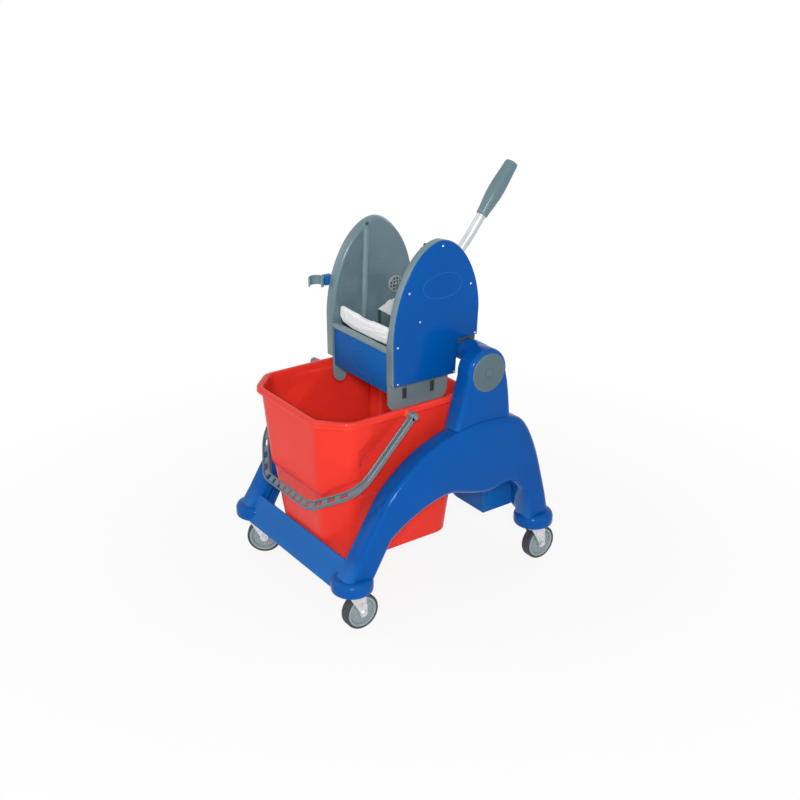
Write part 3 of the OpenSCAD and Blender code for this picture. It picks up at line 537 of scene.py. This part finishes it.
# low ridge along an oval, with two directions in its plane and one out of it
def ovalRidge(bm, center, half, along, up, out, v):
    center, along, up, out = Vector(center), Vector(along), Vector(up), Vector(out)
    w, root, eased = v["width"] / 2, v["root"], 0.2 * v["rise"]
    shape = [(-w, root), (-w, eased), (0.0, v["rise"]), (w, eased), (w, root)]
    vs = []
    for k in range(v["steps"]):
        c, s = math.cos(math.tau * k / v["steps"]), math.sin(math.tau * k / v["steps"])
        vs.append([bm.verts.new(center + along * (half[0] + d) * c + up * (half[1] + d) * s + out * h)
                   for d, h in shape])
    for a, b in zip(vs, vs[1:] + vs[:1]):
        for i in range(len(shape)):
            j = (i + 1) % len(shape)
            bm.faces.new((a[i], b[i], b[j], a[j]))
    bmesh.ops.recalc_face_normals(bm, faces=bm.faces)


def makeOvals(v):
    bm = bmesh.new()
    (y, z), half = v["cover"]
    for s in sides.values():
        ovalRidge(bm, (s * v["face"], y, z), half, alongY, alongZ, (s, 0, 0), v)
    (x, z), half = v["panel"]
    ovalRidge(bm, (x, v["panelFace"], z), half, alongX, alongZ, (0, -1, 0), v)
    addPiece("ovalRidges", bm, "wringer", "blue_plastic")


# dark strip at the press plate's left end: painted shade in the gap beside the far side
def makePressGapShade(v):
    bm = bmesh.new()
    easedBlock(bm, v["low"], v["high"], v["ease"])
    addPiece("pressGapShade", bm, "lever", "dark_plastic")


makePanel(panelShape)
makeScrews(screwShape)
makeOvals(ovalShape)
makePressGapShade(pressGapShade)
print("panel, ovals and screws made")


# ring of points round a polygon with rounded corners, the same count at every height
def roundedRing(corners, z, radius, cornerSteps, sideSteps):
    ring = []
    n = len(corners)
    for i in range(n):
        p, a, b = Vector(corners[i]), Vector(corners[i - 1]), Vector(corners[(i + 1) % n])
        start = p + (a - p).normalized() * radius
        end = p + (b - p).normalized() * radius
        ring += [cornerCurve(start, p, end, k / cornerSteps) for k in range(cornerSteps + 1)]
        nextStart = b + (p - b).normalized() * radius
        ring += [end + (nextStart - end) * k / sideSteps for k in range(1, sideSteps)]
    return [Vector((q.x, q.y, z)) for q in ring]


# levels are height, half width, front and rear; flank rows are height, the recess's edge and where it is full
bucketShape = {"wall": 4.0, "floor": 5.0, "chamfer": 52.0, "rearChamfer": 18.0, "lip": 8.0, "lipHeight": 14.0,
    "cornerRound": 14.0, "cornerSteps": 4, "sideSteps": 26, "rows": 90, "step": 3.5, "stepRise": 40.0, "stepRun": 9.0,
    "recess": 8.5, "recessPlane": 149.0, "fadeRun": 3.8, "pivot": (-84.0, 442.0), "lugRadius": 10.0,
    "lugRoot": 163.0, "lugTip": 180.6,
    "levels": [(106, 129, -238, 61), (269, 147.5, -255, 72), (278, 152, -260, 74), (453, 164, -272, 84)],
    "flank": [(278, -213, -209), (300, -219, -211), (315, -219, -206), (340, -217, -190), (349, -216, -181),
              (373, -207, -156), (390, -186, -137), (410, -166, -114), (424, -165, -98), (453, -165, -69)]}


def wallAt(z, v):
    rows = v["levels"]
    for a, b in zip(rows, rows[1:]):
        if z <= b[0]:
            t = (z - a[0]) / (b[0] - a[0])
            return [a[k] + (b[k] - a[k]) * t for k in (1, 2, 3)]
    return list(rows[-1][1:])


# ring of the wall at one height; the flank sinks in behind a slanting edge and the step rises across the chamfer
def bucketRing(z, grow, v, recessed=True):
    low, shoulder, top = [v["levels"][k][0] for k in (0, 2, 3)]
    run, n = v["stepRun"], v["sideSteps"]
    x, f, r = wallAt(min(max(z, low), top), v)
    x, f, r = x + grow, f - grow, r + grow
    c, k = v["chamfer"], v["rearChamfer"]
    corners = [(x - c, f), (c - x, f), (-x, f + c), (-x, r - k), (k - x, r), (x - k, r), (x, r - k), (x, f + c)]
    ring = roundedRing(corners, z, v["cornerRound"], v["cornerSteps"], n)
    if not recessed or z < shoulder - run:
        return ring
    for (a, e0, g0), (b, e1, g1) in zip(v["flank"], v["flank"][1:]):
        if z <= b:
            t = max(0.0, (z - a) / (b - a))
            edge, inner = e0 + (e1 - e0) * t, g0 + (g1 - g0) * t
            break
    rise = smoothStep((z - shoulder + run) / run)
    fade = min(1.0, max(0.0, (top - v["lipHeight"] - z) / v["fadeRun"])) * rise
    deep = min(v["recess"], x - grow - v["recessPlane"]) * fade
    front, rear = f + c + v["cornerRound"], r - k - v["cornerRound"]
    edge = max(edge, front + 2)
    inner = max(inner, edge + 6)
    # step along the side, the y it moves to and its share of the depth
    stops = [(0, front, 0.0), (5, edge - 1.5, 0.0), (6, edge + 1.5, 0.06), (15, inner - 2, 0.94),
             (16, inner + 2, 1.0), (23, rear - 12, 1.0), (n, rear, 0.0)]
    for p in ring:
        if abs(abs(p.x) - x) < 1e-4:
            i = n * (p.y - front) / (rear - front)
            for (a, y0, t0), (b, y1, t1) in zip(stops, stops[1:]):
                if i <= b + 1e-6:
                    t = max(0.0, (i - a) / (b - a))
                    p.y = y0 + (y1 - y0) * t
                    p.x -= math.copysign(deep * (t0 + (t1 - t0) * t), p.x)
                    break
        elif p.y < front:
            along = min(1.0, max(0.0, (p.y - f) / c))
            above = smoothStep((z - shoulder - v["stepRise"] * along + run) / run)
            push = v["step"] * min(1.0, 4 * along) * (1 - above) * rise
            p.x -= math.copysign(0.7 * push, p.x)
            p.y += 0.7 * push
    return ring


def makeBucket(v):
    bm = bmesh.new()
    top, low = v["levels"][-1][0], v["levels"][0][0]
    lip, wall, lipLow = v["lip"], v["wall"], top - v["lipHeight"]
    heights = [low + 3 + (lipLow - low - 3) * k / v["rows"] for k in range(v["rows"] + 1)]
    rings = [bucketRing(low, -4, v), bucketRing(low + 0.8, -1.2, v)] + [bucketRing(z, 0, v) for z in heights]
    rim = [(1.5, lipLow - 0.2), (lip - 2, lipLow), (lip - 0.6, lipLow + 0.6), (lip, lipLow + 2), (lip - 0.8, lipLow + 7),
           (lip - 1.2, top - 2.5), (lip - 2.0, top - 0.7), (lip - 3.5, top), (2.5 - wall, top), (0.8 - wall, top - 0.8),
           (-wall, top - 2.5)]
    rings += [bucketRing(z, grow, v, False) for grow, z in rim]
    rings += [bucketRing(z, -wall, v) for z in reversed(heights[2:])]
    rings += [bucketRing(low + v["floor"] + 1.0, -wall - 1, v), bucketRing(low + v["floor"], -wall - 5, v)]
    skin(bm, rings)
    r, root, tip = v["lugRadius"], v["lugRoot"], v["lugTip"]
    for s in sides.values():
        lug = bmesh.ops.create_cone(bm, cap_ends=True, segments=40, radius1=r, radius2=r, depth=tip - root)["verts"]
        turn(bm, lug, math.radians(90), "Y")
        bmesh.ops.translate(bm, vec=(s * (tip + root) / 2, *v["pivot"]), verts=lug)
    addPiece("bucketShell", bm, "bucket_unit", "red_plastic", ["bucket"])


makeBucket(bucketShape)
print("bucket made")

# sloping crossbar, its ends running into the arches
crossbarShape = {"section": [(-284, 99), (-250, 154), (-245, 154), (-245, 147), (-268, 99)], "half": 193.0, "round": 2.3}


def makeCrossbar(v):
    ring = roundedRing(v["section"], 0, v["round"], 5, 3)
    bm = bmesh.new()
    skin(bm, [[(x, q.x, q.y) for q in ring] for x in (-v["half"], v["half"])])
    addPiece("crossbarRail", bm, "frame", "blue_plastic", ["front_crossbar"])


makeCrossbar(crossbarShape)

# bail: two rails with a web between them, holes left in the web as place from the middle and length
bailShape = {"pivot": (-84.0, 442.0), "angle": 44.955, "line": [(189, 0), (189, 191.2), (88, 273)], "turns": [44.0, 18.0],
    "strap": 16.0, "broad": 3.0, "broadFrom": 150.0, "broadRun": 90.0, "thick": 10.0, "rail": 3.6, "web": 4.6,
    "railEdge": 0.9, "webEdge": 0.4, "eye": 9.0, "bore": 4.05,
    "holes": [(11.5, 11), (34.5, 11), (57.5, 11), (82, 14), (112, 20), (147, 20), (181, 20)]}


# even points along a line whose corners are rounded
def roundedLine(points, turns, step):
    p = [Vector(q) for q in points]
    dense = [p[0]]
    for i in range(1, len(p) - 1):
        a = p[i] + (p[i - 1] - p[i]).normalized() * turns[i - 1]
        b = p[i] + (p[i + 1] - p[i]).normalized() * turns[i - 1]
        dense += [cornerCurve(a, p[i], b, k / 24) for k in range(25)]
    dense.append(p[-1])
    runs = [0.0]
    for a, b in zip(dense, dense[1:]):
        runs.append(runs[-1] + (b - a).length)
    count = round(runs[-1] / step)
    even = []
    j = 0
    for k in range(count + 1):
        d = runs[-1] * k / count
        while j < len(runs) - 2 and runs[j + 1] < d:
            j += 1
        even.append(dense[j].lerp(dense[j + 1], (d - runs[j]) / max(1e-9, runs[j + 1] - runs[j])))
    return even, runs[-1]


def makeBail(v):
    half, turns = v["line"], v["turns"]
    whole = half + [(-x, y) for x, y in reversed(half)]
    line, length = roundedLine(whole, turns + turns[::-1], 2.0)
    last = len(line) - 1
    (py, pz), a = v["pivot"], math.radians(v["angle"])

    def lift(q, t):
        return Vector((q.x, py - q.y * math.cos(a) - t * math.sin(a), pz - q.y * math.sin(a) + t * math.cos(a)))

    def bar(bm, first, stop, offset, width, thick, edge):
        rings = []
        for i in range(first, stop + 1):
            ahead = (line[min(i + 1, last)] - line[max(i - 1, 0)]).normalized()
            across = Vector((ahead.y, -ahead.x))
            more = v["broad"] * smoothStep((line[i].y - v["broadFrom"]) / v["broadRun"])
            w, h = (width + (more if offset == 0 else 0)) / 2, thick / 2
            shift = offset + math.copysign(more / 2, offset) if offset else 0.0
            flat = [(w, h - edge), (w - edge, h), (edge - w, h), (-w, h - edge),
                    (-w, edge - h), (edge - w, -h), (w - edge, -h), (w, edge - h)]
            rings.append([lift(line[i] + across * (shift + p), t) for p, t in flat])
        skin(bm, rings)

    def pointAt(s):
        return min(last, max(0, round((length / 2 + s) / length * last)))

    bm = bmesh.new()
    side = (v["strap"] - v["rail"]) / 2
    for offset in (-side, side):
        bar(bm, 0, last, offset, v["rail"], v["thick"], v["railEdge"])
    cuts = sorted((pointAt(k * s - size / 2), pointAt(k * s + size / 2)) for s, size in v["holes"] for k in (-1, 1))
    begin = 0
    for lo, hi in cuts + [(last, last)]:
        if lo > begin:
            bar(bm, begin, lo, 0.0, v["strap"] - v["rail"], v["web"], v["webEdge"])
        begin = hi
    bore, eye, w = v["bore"], v["eye"], v["strap"] / 2
    ring = [(bore, -w), (eye - 1, -w), (eye, 1 - w), (eye, w - 1), (eye - 1, w), (bore, w), (bore, -w)]
    for s in sides.values():
        lathe(bm, ring, (s * half[0][0], py, pz), alongX, alongZ, 48)
    # the bail wears the darker grey copy as painted shade
    addPiece("bailStrap", bm, "bail", "grey_plastic", ["bail_handle"], look="deep_grey_plastic")


makeBail(bailShape)
print("crossbar and bail made")

bushShape = {"place": (79.0, 621.0), "inner": 103.0, "flange": 4.0, "radius": 19.5, "web": 15.6, "ease": 1.2,
    "bars": (-8.4, 0.0, 8.4), "bar": 2.8, "shadeFrom": 0.2, "shadeTo": 1.2,
    "axleAt": (80.0, 619.0), "axle": ((72.0, 9.0), (116.5, 3.2)), "axleEase": 0.6}
nearAxis = 0.01  # a profile's ends stay just off the axis


def makeBushes(v):
    y, z = v["place"]
    inner, r, hole, ease, b = v["inner"], v["radius"], v["web"], v["ease"], v["bar"] / 2
    face = inner - v["flange"]
    ring = [(r, inner), (r, face + ease), (r - ease, face), (hole + 1, face), (hole, face + 1), (hole, inner), (r, inner)]
    # the dark disc behind the web is painted shade, seen through the bush's holes
    near, far = inner - v["shadeFrom"], inner - v["shadeTo"]
    shadeDisc = [(nearAxis, near), (hole - 0.1, near), (hole - 0.1, far), (nearAxis, far)]
    rings, web, dark = bmesh.new(), bmesh.new(), bmesh.new()
    for s in sides.values():
        lathe(rings, ring, (0, y, z), (s, 0, 0), alongZ, 48)
        lathe(dark, shadeDisc, (0, y, z), (s, 0, 0), alongZ, 48)
        x0, x1 = sorted((s * (face + 0.6), s * (inner - 1.0)))
        for q in v["bars"]:
            half = math.sqrt(hole ** 2 - q ** 2)
            easedBlock(web, (x0, y + q - b, z - half), (x1, y + q + b, z + half), 0.4)
            easedBlock(web, (x0, y - half, z + q - b), (x1, y + half, z + q + b), 0.4)
    addPiece("bushRings", rings, "wringer", "hub_plastic", ["axle_bushes"])
    addPiece("bushWebs", web, "wringer", "hub_plastic")
    addPiece("bushHoleShade", dark, "wringer", "dark_plastic")


# axle with a thick middle and thin ends
def makeAxle(v):
    bm = bmesh.new()
    (x0, r0), (x1, r1) = v["axle"]
    e = v["axleEase"]
    half = [(r0, x0 - e), (r0 - e, x0), (r1, x0), (r1, x1 - e), (r1 - e, x1), (nearAxis, x1)]
    lathe(bm, [(r, -h) for r, h in reversed(half)] + half, (0, *v["axleAt"]), alongX, alongZ, 48)
    addPiece("leverAxle", bm, "lever", "zinc_steel", ["lever_axle"])


makeBushes(bushShape)
makeAxle(bushShape)

# half is the mouth's half angle, mouth the way it faces
clipShape = {"center": (-140.0, -105.0), "heights": (639.0, 660.0), "radius": 15.6, "wall": 3.4, "mouth": 44.0,
    "half": 58.0, "steps": 40, "edge": 0.8, "base": ((-147.0, -88.2, 639.0), (-129.0, -67.5, 661.0)), "baseEase": 2.5}


def makeClip(v):
    (x, y), (low, high) = v["center"], v["heights"]
    steps, edge = v["steps"], v["edge"]
    rings = []
    for k in range(steps + 1):
        t = math.radians(v["mouth"] - 90 + v["half"] + (360 - 2 * v["half"]) * k / steps)
        end = min(k, steps - k) / steps
        thick = v["wall"] / 2 * (1.0 + 0.5 * smoothStep(1 - end / 0.08)) * (0.7 if end == 0 else 1.0)
        lift = 1.0 if end > 0 else 2.0
        out = Vector((math.cos(t), math.sin(t)))
        z0, z1 = low + lift, high - lift
        shape = [(thick, z0), (thick, z1), (thick - edge, z1 + 1), (edge - thick, z1 + 1),
                 (-thick, z1), (-thick, z0), (edge - thick, z0 - 1), (thick - edge, z0 - 1)]
        rings.append([(x + out.x * (v["radius"] + d), y + out.y * (v["radius"] + d), z) for d, z in shape])
    bm = bmesh.new()
    skin(bm, rings)
    addPiece("clipRing", bm, "wringer", "grey_plastic", ["mop_clip"])
    bm = bmesh.new()
    easedBlock(bm, *v["base"], v["baseEase"])
    addPiece("clipBlock", bm, "wringer", "blue_plastic", ["clip_base"])


makeClip(clipShape)
print("bushes, axle and clip made")

wheelShape = {"radius": 40.0, "tyre": 5.5, "half": 12.0, "axleHeight": 40.0, "trail": 18.0, "bore": 4.05,
    "webs": 6, "webSize": (2.4, 2.2, 15.0), "webPlace": (5.4, 18.5)}
stems = {"fl": (-203, -249, -36), "fr": (203, -249, 0), "rl": (-203, 249, 0), "rr": (203, 249, 0)}  # x, y, turn


def makeWheel(corner, v):
    x, y, swing = stems[corner]
    a = math.radians(swing)
    axis = (math.cos(a), math.sin(a), 0)
    cent = (x - v["trail"] * math.sin(a), y + v["trail"] * math.cos(a), v["axleHeight"])
    r, w, hub, b = v["radius"], v["half"], v["radius"] - v["tyre"], v["bore"]
    tread = [(r - 0.5, 1.6), (r, 2.4), (r, w - 5), (r - 0.3, w - 2.6), (r - 1.2, w - 1.0), (r - 2.6, w - 0.2),
             (hub + 2.2, w), (hub + 0.8, w - 0.3), (hub, w - 1.2)]
    bm = bmesh.new()
    lathe(bm, [(q, -h) for q, h in reversed(tread)] + tread + [(hub, 1.2 - w)], cent, axis, alongZ)
    addPiece("tyreRing_" + corner, bm, "wheel_" + corner, "tyre_rubber", ["tyre_" + corner])
    half = [(b, w + 1), (b + 5, w + 1), (b + 5.6, w + 0.4), (b + 6.4, 6.4), (b + 8, 5.2), (hub - 9, 4.8),
            (hub - 7, 5.6), (hub - 5.6, w - 1.6), (hub - 4.8, w - 0.6), (hub - 1.4, w - 0.4), (hub, w - 1.4)]
    bm = bmesh.new()
    lathe(bm, half + [(q, -h) for q, h in reversed(half)] + [half[0]], cent, axis, alongZ)
    out, up = v["webPlace"]
    for k in range(v["webs"]):  # low webs on both faces
        for s in (-1, 1):
            web = bmesh.ops.create_cube(bm, size=1)["verts"]
            bmesh.ops.scale(bm, vec=v["webSize"], verts=web)
            bmesh.ops.translate(bm, vec=(s * out, 0, up), verts=web)
            turn(bm, web, k * math.tau / v["webs"], "X")
            turn(bm, web, a, "Z")
            bmesh.ops.translate(bm, vec=cent, verts=web)
    addPiece("wheelBody_" + corner, bm, "wheel_" + corner, "hub_plastic", ["wheel_hub_" + corner])


bossShape = {"radius": 45.0, "bore": 6.2, "low": 97.0, "height": 32.0}


def makeBoss(corner, v):
    x, y = stems[corner][:2]
    r, h, bore = v["radius"], v["height"], v["bore"]
    bm = bmesh.new()
    lathe(bm, [(bore, 0), (r - 6, 0), (r - 3, 0.7), (r - 0.8, 2.8), (r, 6), (r, h - 13), (r - 1.2, h - 8),
               (r - 4, h - 3.8), (r - 8.5, h - 1), (r - 14, h), (bore, h), (bore, 0)], (x, y, v["low"]), alongZ, alongX)
    addPiece("cornerBoss_" + corner, bm, "frame", "blue_plastic", ["corner_boss_" + corner])


for corner in stems:
    makeWheel(corner, wheelShape)
    makeBoss(corner, bossShape)
print("wheels and bosses made")

# post caps with a button in a groove
capShape = {"face": 219.0, "center": (90.0, 507.0),
    "profile": [(0, 1.6), (7.6, 1.6), (8.8, 1.1), (9.2, 0.2), (10.6, 0.2), (11, 1.0), (12, 1.3), (34, 1.6), (38, 1.4),
                (41, 0.8), (42.4, -0.2), (43, -2), (43, -4.6), (0, -4.6)]}


def makeCaps(v):
    bm = bmesh.new()
    for s in sides.values():
        lathe(bm, v["profile"], (s * v["face"], *v["center"]), (s, 0, 0), alongZ)
    # the caps wear the darker grey copy as painted shade
    addPiece("postCaps", bm, "frame", "grey_plastic", ["post_caps"], look="deep_grey_plastic")


makeCaps(capShape)

springShape = {"wire": 1.5, "coil": 14.3, "pitch": 4.2, "start": 24.0, "turns": 7, "turnSteps": 36, "axle": (80.0, 619.0)}


def makeSpring(v):
    bm = bmesh.new()
    cent = Vector((v["start"], *v["axle"]))
    ring = bmesh.ops.create_circle(bm, cap_ends=False, segments=12, radius=v["wire"])["verts"]
    bmesh.ops.translate(bm, vec=cent + Vector((0, v["coil"], 0)), verts=ring)
    bmesh.ops.spin(bm, geom=ring + list(bm.edges), cent=cent, axis=alongX, dvec=(v["pitch"] / v["turnSteps"], 0, 0),
                   angle=math.tau * v["turns"], steps=v["turnSteps"] * v["turns"])
    bmesh.ops.holes_fill(bm, edges=[e for e in bm.edges if e.is_boundary], sides=20)
    addPiece("windingSpring", bm, "lever", "zinc_steel", ["return_spring"])


makeSpring(springShape)

# lever: low and top are the lengths either side of its bend; grip rows are place, half width and half thickness
leverShape = {"axle": (80.0, 619.0), "lowAngle": 40.0, "topAngle": 52.0, "low": 142.0, "top": 218.0, "start": 21.0,
    "radius": 10.5, "bend": 42.0, "tubeSteps": 60, "inGrip": 8.0, "grip": 136.0,
    "gripRows": [(0, 11.6, 11.6), (0.4, 12.6, 12.6), (1.4, 13.2, 13.2), (12, 13.4, 13.4), (30, 14.6, 14.4),
                 (50, 16.4, 15.8), (68, 17.0, 16.2), (88, 16.4, 15.4), (112, 15.0, 13.8), (130, 14.2, 13.0),
                 (133.5, 13.6, 12.4), (135.4, 12.2, 11.0), (136, 9.6, 8.6)]}


def alongLever(d, v):
    a, b = math.radians(v["lowAngle"]), math.radians(v["topAngle"])
    u, w = Vector((0, math.cos(a), math.sin(a))), Vector((0, math.cos(b), math.sin(b)))
    bend = Vector((0, *v["axle"])) + u * v["low"]
    t = (d - v["low"]) / v["bend"]
    if t <= -1:
        return bend + u * (d - v["low"]), u
    if t >= 1:
        return bend + w * (d - v["low"]), w
    s = (t + 1) / 2
    return cornerCurve(bend - u * v["bend"], bend, bend + w * v["bend"], s), ((1 - s) * u + s * w).normalized()


def leverRing(d, wide, thick, v, count=32, power=2.0):
    p, along = alongLever(d, v)
    right = Vector(alongX)
    up = along.cross(right).normalized()
    ring = []
    for k in range(count):
        c, s = math.cos(math.tau * k / count), math.sin(math.tau * k / count)
        ring.append(p + right * wide * math.copysign(abs(c) ** (2 / power), c)
                    + up * thick * math.copysign(abs(s) ** (2 / power), s))
    return ring


def makeLever(v):
    end = v["low"] + v["top"]
    run = end - v["inGrip"] - v["start"]
    bm = bmesh.new()
    stations = [v["start"] + run * k / v["tubeSteps"] for k in range(v["tubeSteps"] + 1)]
    skin(bm, [leverRing(d, v["radius"], v["radius"], v) for d in stations])
    addPiece("leverTube", bm, "lever", "bare_aluminium", ["lever_tube"])
    bm = bmesh.new()
    gripStart = end - v["grip"]
    skin(bm, [leverRing(gripStart + d, w, t, v, 40, 2.0 + 0.9 * smoothStep(d / 40)) for d, w, t in v["gripRows"]])
    addPiece("leverGrip", bm, "lever", "grey_plastic", ["lever_grip"])


makeLever(leverShape)
print("lever made")

# mop cloth hung over an edge: front hem, over the edge, back hem; tables give the hem's drop and the rise across X
frontCloth = {"name": "clothFront", "node": "mop_cloth_front", "body": "wringer", "on": "front_jaw",
    "x": (-101.4, 99.0), "y": -63.0, "edge": 588.0, "reach": 4.7,
    "front": [(-101.4, 14), (-88, 24), (-49, 30), (0, 30), (40, 28.5), (99, 28)], "back": [(-99, 50), (99, 52)],
    "rise": [(-101.4, 8), (-63, 5.8), (-42, 5.2), (-24, 1.8), (-2, 1.8), (19, 5), (50, 6), (99, 6.4)],
    "lean": 0.0, "fold": 0.48, "turns": 9.0, "flat": (0.2, 0.098), "seed": 3.0}
rearCloth = {"name": "clothRear", "node": "mop_cloth_rear", "body": "lever", "on": "press_plate",
    "x": (-91.0, 64.0), "y": 31.0, "edge": 575.0, "reach": 4.7,
    "front": [(-91, 1), (-70, 2), (-40, 4), (64, 9)], "back": [(-91, 4), (64, 9)],
    "rise": [(-91, 3), (-84, 8), (-68, 23), (-48, 33), (-15, 34), (20, 26), (64, 8)],
    "lean": 0.45, "fold": 0.96, "turns": 6.0, "flat": (0.17, 0.08), "seed": 8.0}
clothMake = {"across": 180, "along": 64, "crease": 2.2, "wander": 1.6, "endWander": 4.5, "thick": 2.4}


def tableAt(x, table):
    for (a, p), (b, q) in zip(table, table[1:]):
        if x <= b:
            return p + (q - p) * smoothStep((x - a) / (b - a))
    return table[-1][1]


def makeCloth(v, w):
    bm = bmesh.new()
    bmesh.ops.create_grid(bm, x_segments=w["across"], y_segments=w["along"], size=0.5)
    uv = bm.loops.layers.uv.new("cut")
    for face in bm.faces:
        for corner in face.loops:
            corner[uv].uv = (corner.vert.co.x + 0.5, corner.vert.co.y + 0.5)
    for vert in bm.verts:
        s, t = vert.co.x + 0.5, vert.co.y + 0.5
        x = v["x"][0] + (v["x"][1] - v["x"][0]) * s
        drift = noise.noise(Vector((x * 0.02, v["seed"], 0)))
        r, rise = v["reach"], tableAt(x, v["rise"])
        front = tableAt(x, v["front"]) * (1 + 0.04 * drift)
        back = tableAt(x, v["back"]) * (1 + 0.05 * drift)
        crown = math.pi * math.sqrt((r * r + rise * rise) / 2)
        d = t * (front + crown + back)
        pleat = (0.5 + 0.5 * math.sin(v["turns"] * math.tau * s + 4 * drift)) ** 2
        crease = abs(noise.noise(Vector((x * 0.016 + d * 0.02, d * 0.13, v["seed"]))))  # runs along the edge
        fold = v["fold"] * pleat + w["crease"] * crease
        if d < front:
            low = front - d
            place = Vector((-r - fold * (0.5 + 0.5 * smoothStep(low / 12)), -low))
        elif d > front + crown:
            place = Vector((r + fold, -(d - front - crown)))
        else:
            a = math.pi * (d - front) / crown
            place = Vector((-(r + 0.5 * fold) * math.cos(a), (rise + 0.25 * fold) * math.sin(a)))
            place.x += v["lean"] * place.y
        wander = noise.noise(Vector((d * 0.09, s * 6, v["seed"] + 5)))
        end = abs(2 * s - 1) ** 6
        ragged = wander * (w["wander"] * (1 - end) + w["endWander"] * end)
        vert.co = (x + ragged, v["y"] + place.x, v["edge"] + place.y)
    obj = addPiece(v["name"], bm, v["body"], "white_cloth", [v["node"]], 80.0, False)
    nap = obj.modifiers.new("nap", "SOLIDIFY")
    nap.thickness = w["thick"] * mm
    nap.offset = 0.0
    softer = obj.modifiers.new("softened", "SUBSURF")
    softer.levels = softer.render_levels = 1


makeCloth(frontCloth, clothMake)
makeCloth(rearCloth, clothMake)
print("cloth made")

camera = {"place": (1.9821, -1.4030, 1.4301), "azimuth": 54.35, "elevation": 23.15, "focalPx": 1189.68,
    "framePx": 800, "sensor": 36.0}
# lamps are place, size and power; the floor turns white from fadeFrom to fadeTo metres out
studio = {"world": 0.42, "floorWhite": 0.86, "fadeFrom": 0.55, "fadeTo": 1.3, "aim": (0, 0, 0.4),
    "lamps": {"keyLight": ((2.9, -2.0, 2.1), 0.6, 94.0), "fillLight": ((-2.2, -2.6, 2.2), 2.2, 20.0),
              "topLight": ((0.2, 0.6, 3.4), 2.2, 6.0)}}


def makeCamera(v):
    data = bpy.data.cameras.new("camera")
    data.sensor_width = v["sensor"]
    data.lens = v["focalPx"] / v["framePx"] * v["sensor"]
    data.clip_end = 50
    obj = bpy.data.objects.new("camera", data)
    bpy.context.collection.objects.link(obj)
    obj.location = v["place"]
    obj.rotation_euler = (math.radians(90 - v["elevation"]), 0, math.radians(v["azimuth"]))
    bpy.context.scene.camera = obj


def softBox(name, place, target, size, power):
    data = bpy.data.lights.new(name, "AREA")
    data.energy = power
    data.size = size
    obj = bpy.data.objects.new(name, data)
    bpy.context.collection.objects.link(obj)
    obj.location = place
    obj.rotation_euler = (Vector(target) - Vector(place)).to_track_quat("-Z", "Y").to_euler()


# 1 for what the camera sees, straight or in gloss and glass
def seenRays(tree):
    direct = Sock(tree, None).node("ShaderNodeLightPath", {}, {}, "Is Camera Ray")
    rays = direct.socket.node.outputs
    seen = direct + Sock(tree, rays["Is Glossy Ray"]) + Sock(tree, rays["Is Transmission Ray"])
    return seen.math("MINIMUM", seen, 1.0)


def makeFloor(v):
    bm = bmesh.new()
    bmesh.ops.create_grid(bm, x_segments=1, y_segments=1, size=30)
    mesh = bpy.data.meshes.new("floor")
    bm.to_mesh(mesh)
    bm.free()
    floor = bpy.data.objects.new("floor", mesh)
    bpy.context.collection.objects.link(floor)
    mat, shader, place = newMaterial("floorPaper")
    feed(shader, "Base Color", tint(place, cloudy(place, 3.0), (0.9, 0.9, 0.9), (0.92, 0.92, 0.92)))
    shader.inputs["Roughness"].default_value = 0.9
    tree = mat.node_tree
    distance = place.node("ShaderNodeVectorMath", {"operation": "LENGTH"}, {0: place}, 1)
    far = spread(distance, v["fadeFrom"], v["fadeTo"], v["floorWhite"], 1.0)
    white = place.node("ShaderNodeEmission", {}, {"Color": (1, 1, 1, 1), "Strength": 1.0})
    lit = Sock(tree, shader.outputs[0])
    shown = place.node("ShaderNodeMixShader", {}, {0: seenRays(tree) * far, 1: lit, 2: white})
    tree.links.new(shown.socket, tree.nodes["Material Output"].inputs["Surface"])
    mesh.materials.append(mat)


def makeStudio(v):
    scene = bpy.context.scene
    scene.view_settings.view_transform = "Standard"
    for name, (place, size, power) in v["lamps"].items():
        softBox(name, place, v["aim"], size, power)
    world = bpy.data.worlds.new("studio")
    scene.world = world
    world.use_nodes = True
    back = world.node_tree.nodes["Background"]
    back.inputs["Color"].default_value = (1, 1, 1, 1)
    feed(back, "Strength", v["world"] + (1.0 - v["world"]) * seenRays(world.node_tree))
    makeFloor(v)


makeCamera(camera)
makeStudio(studio)
print("studio ready")
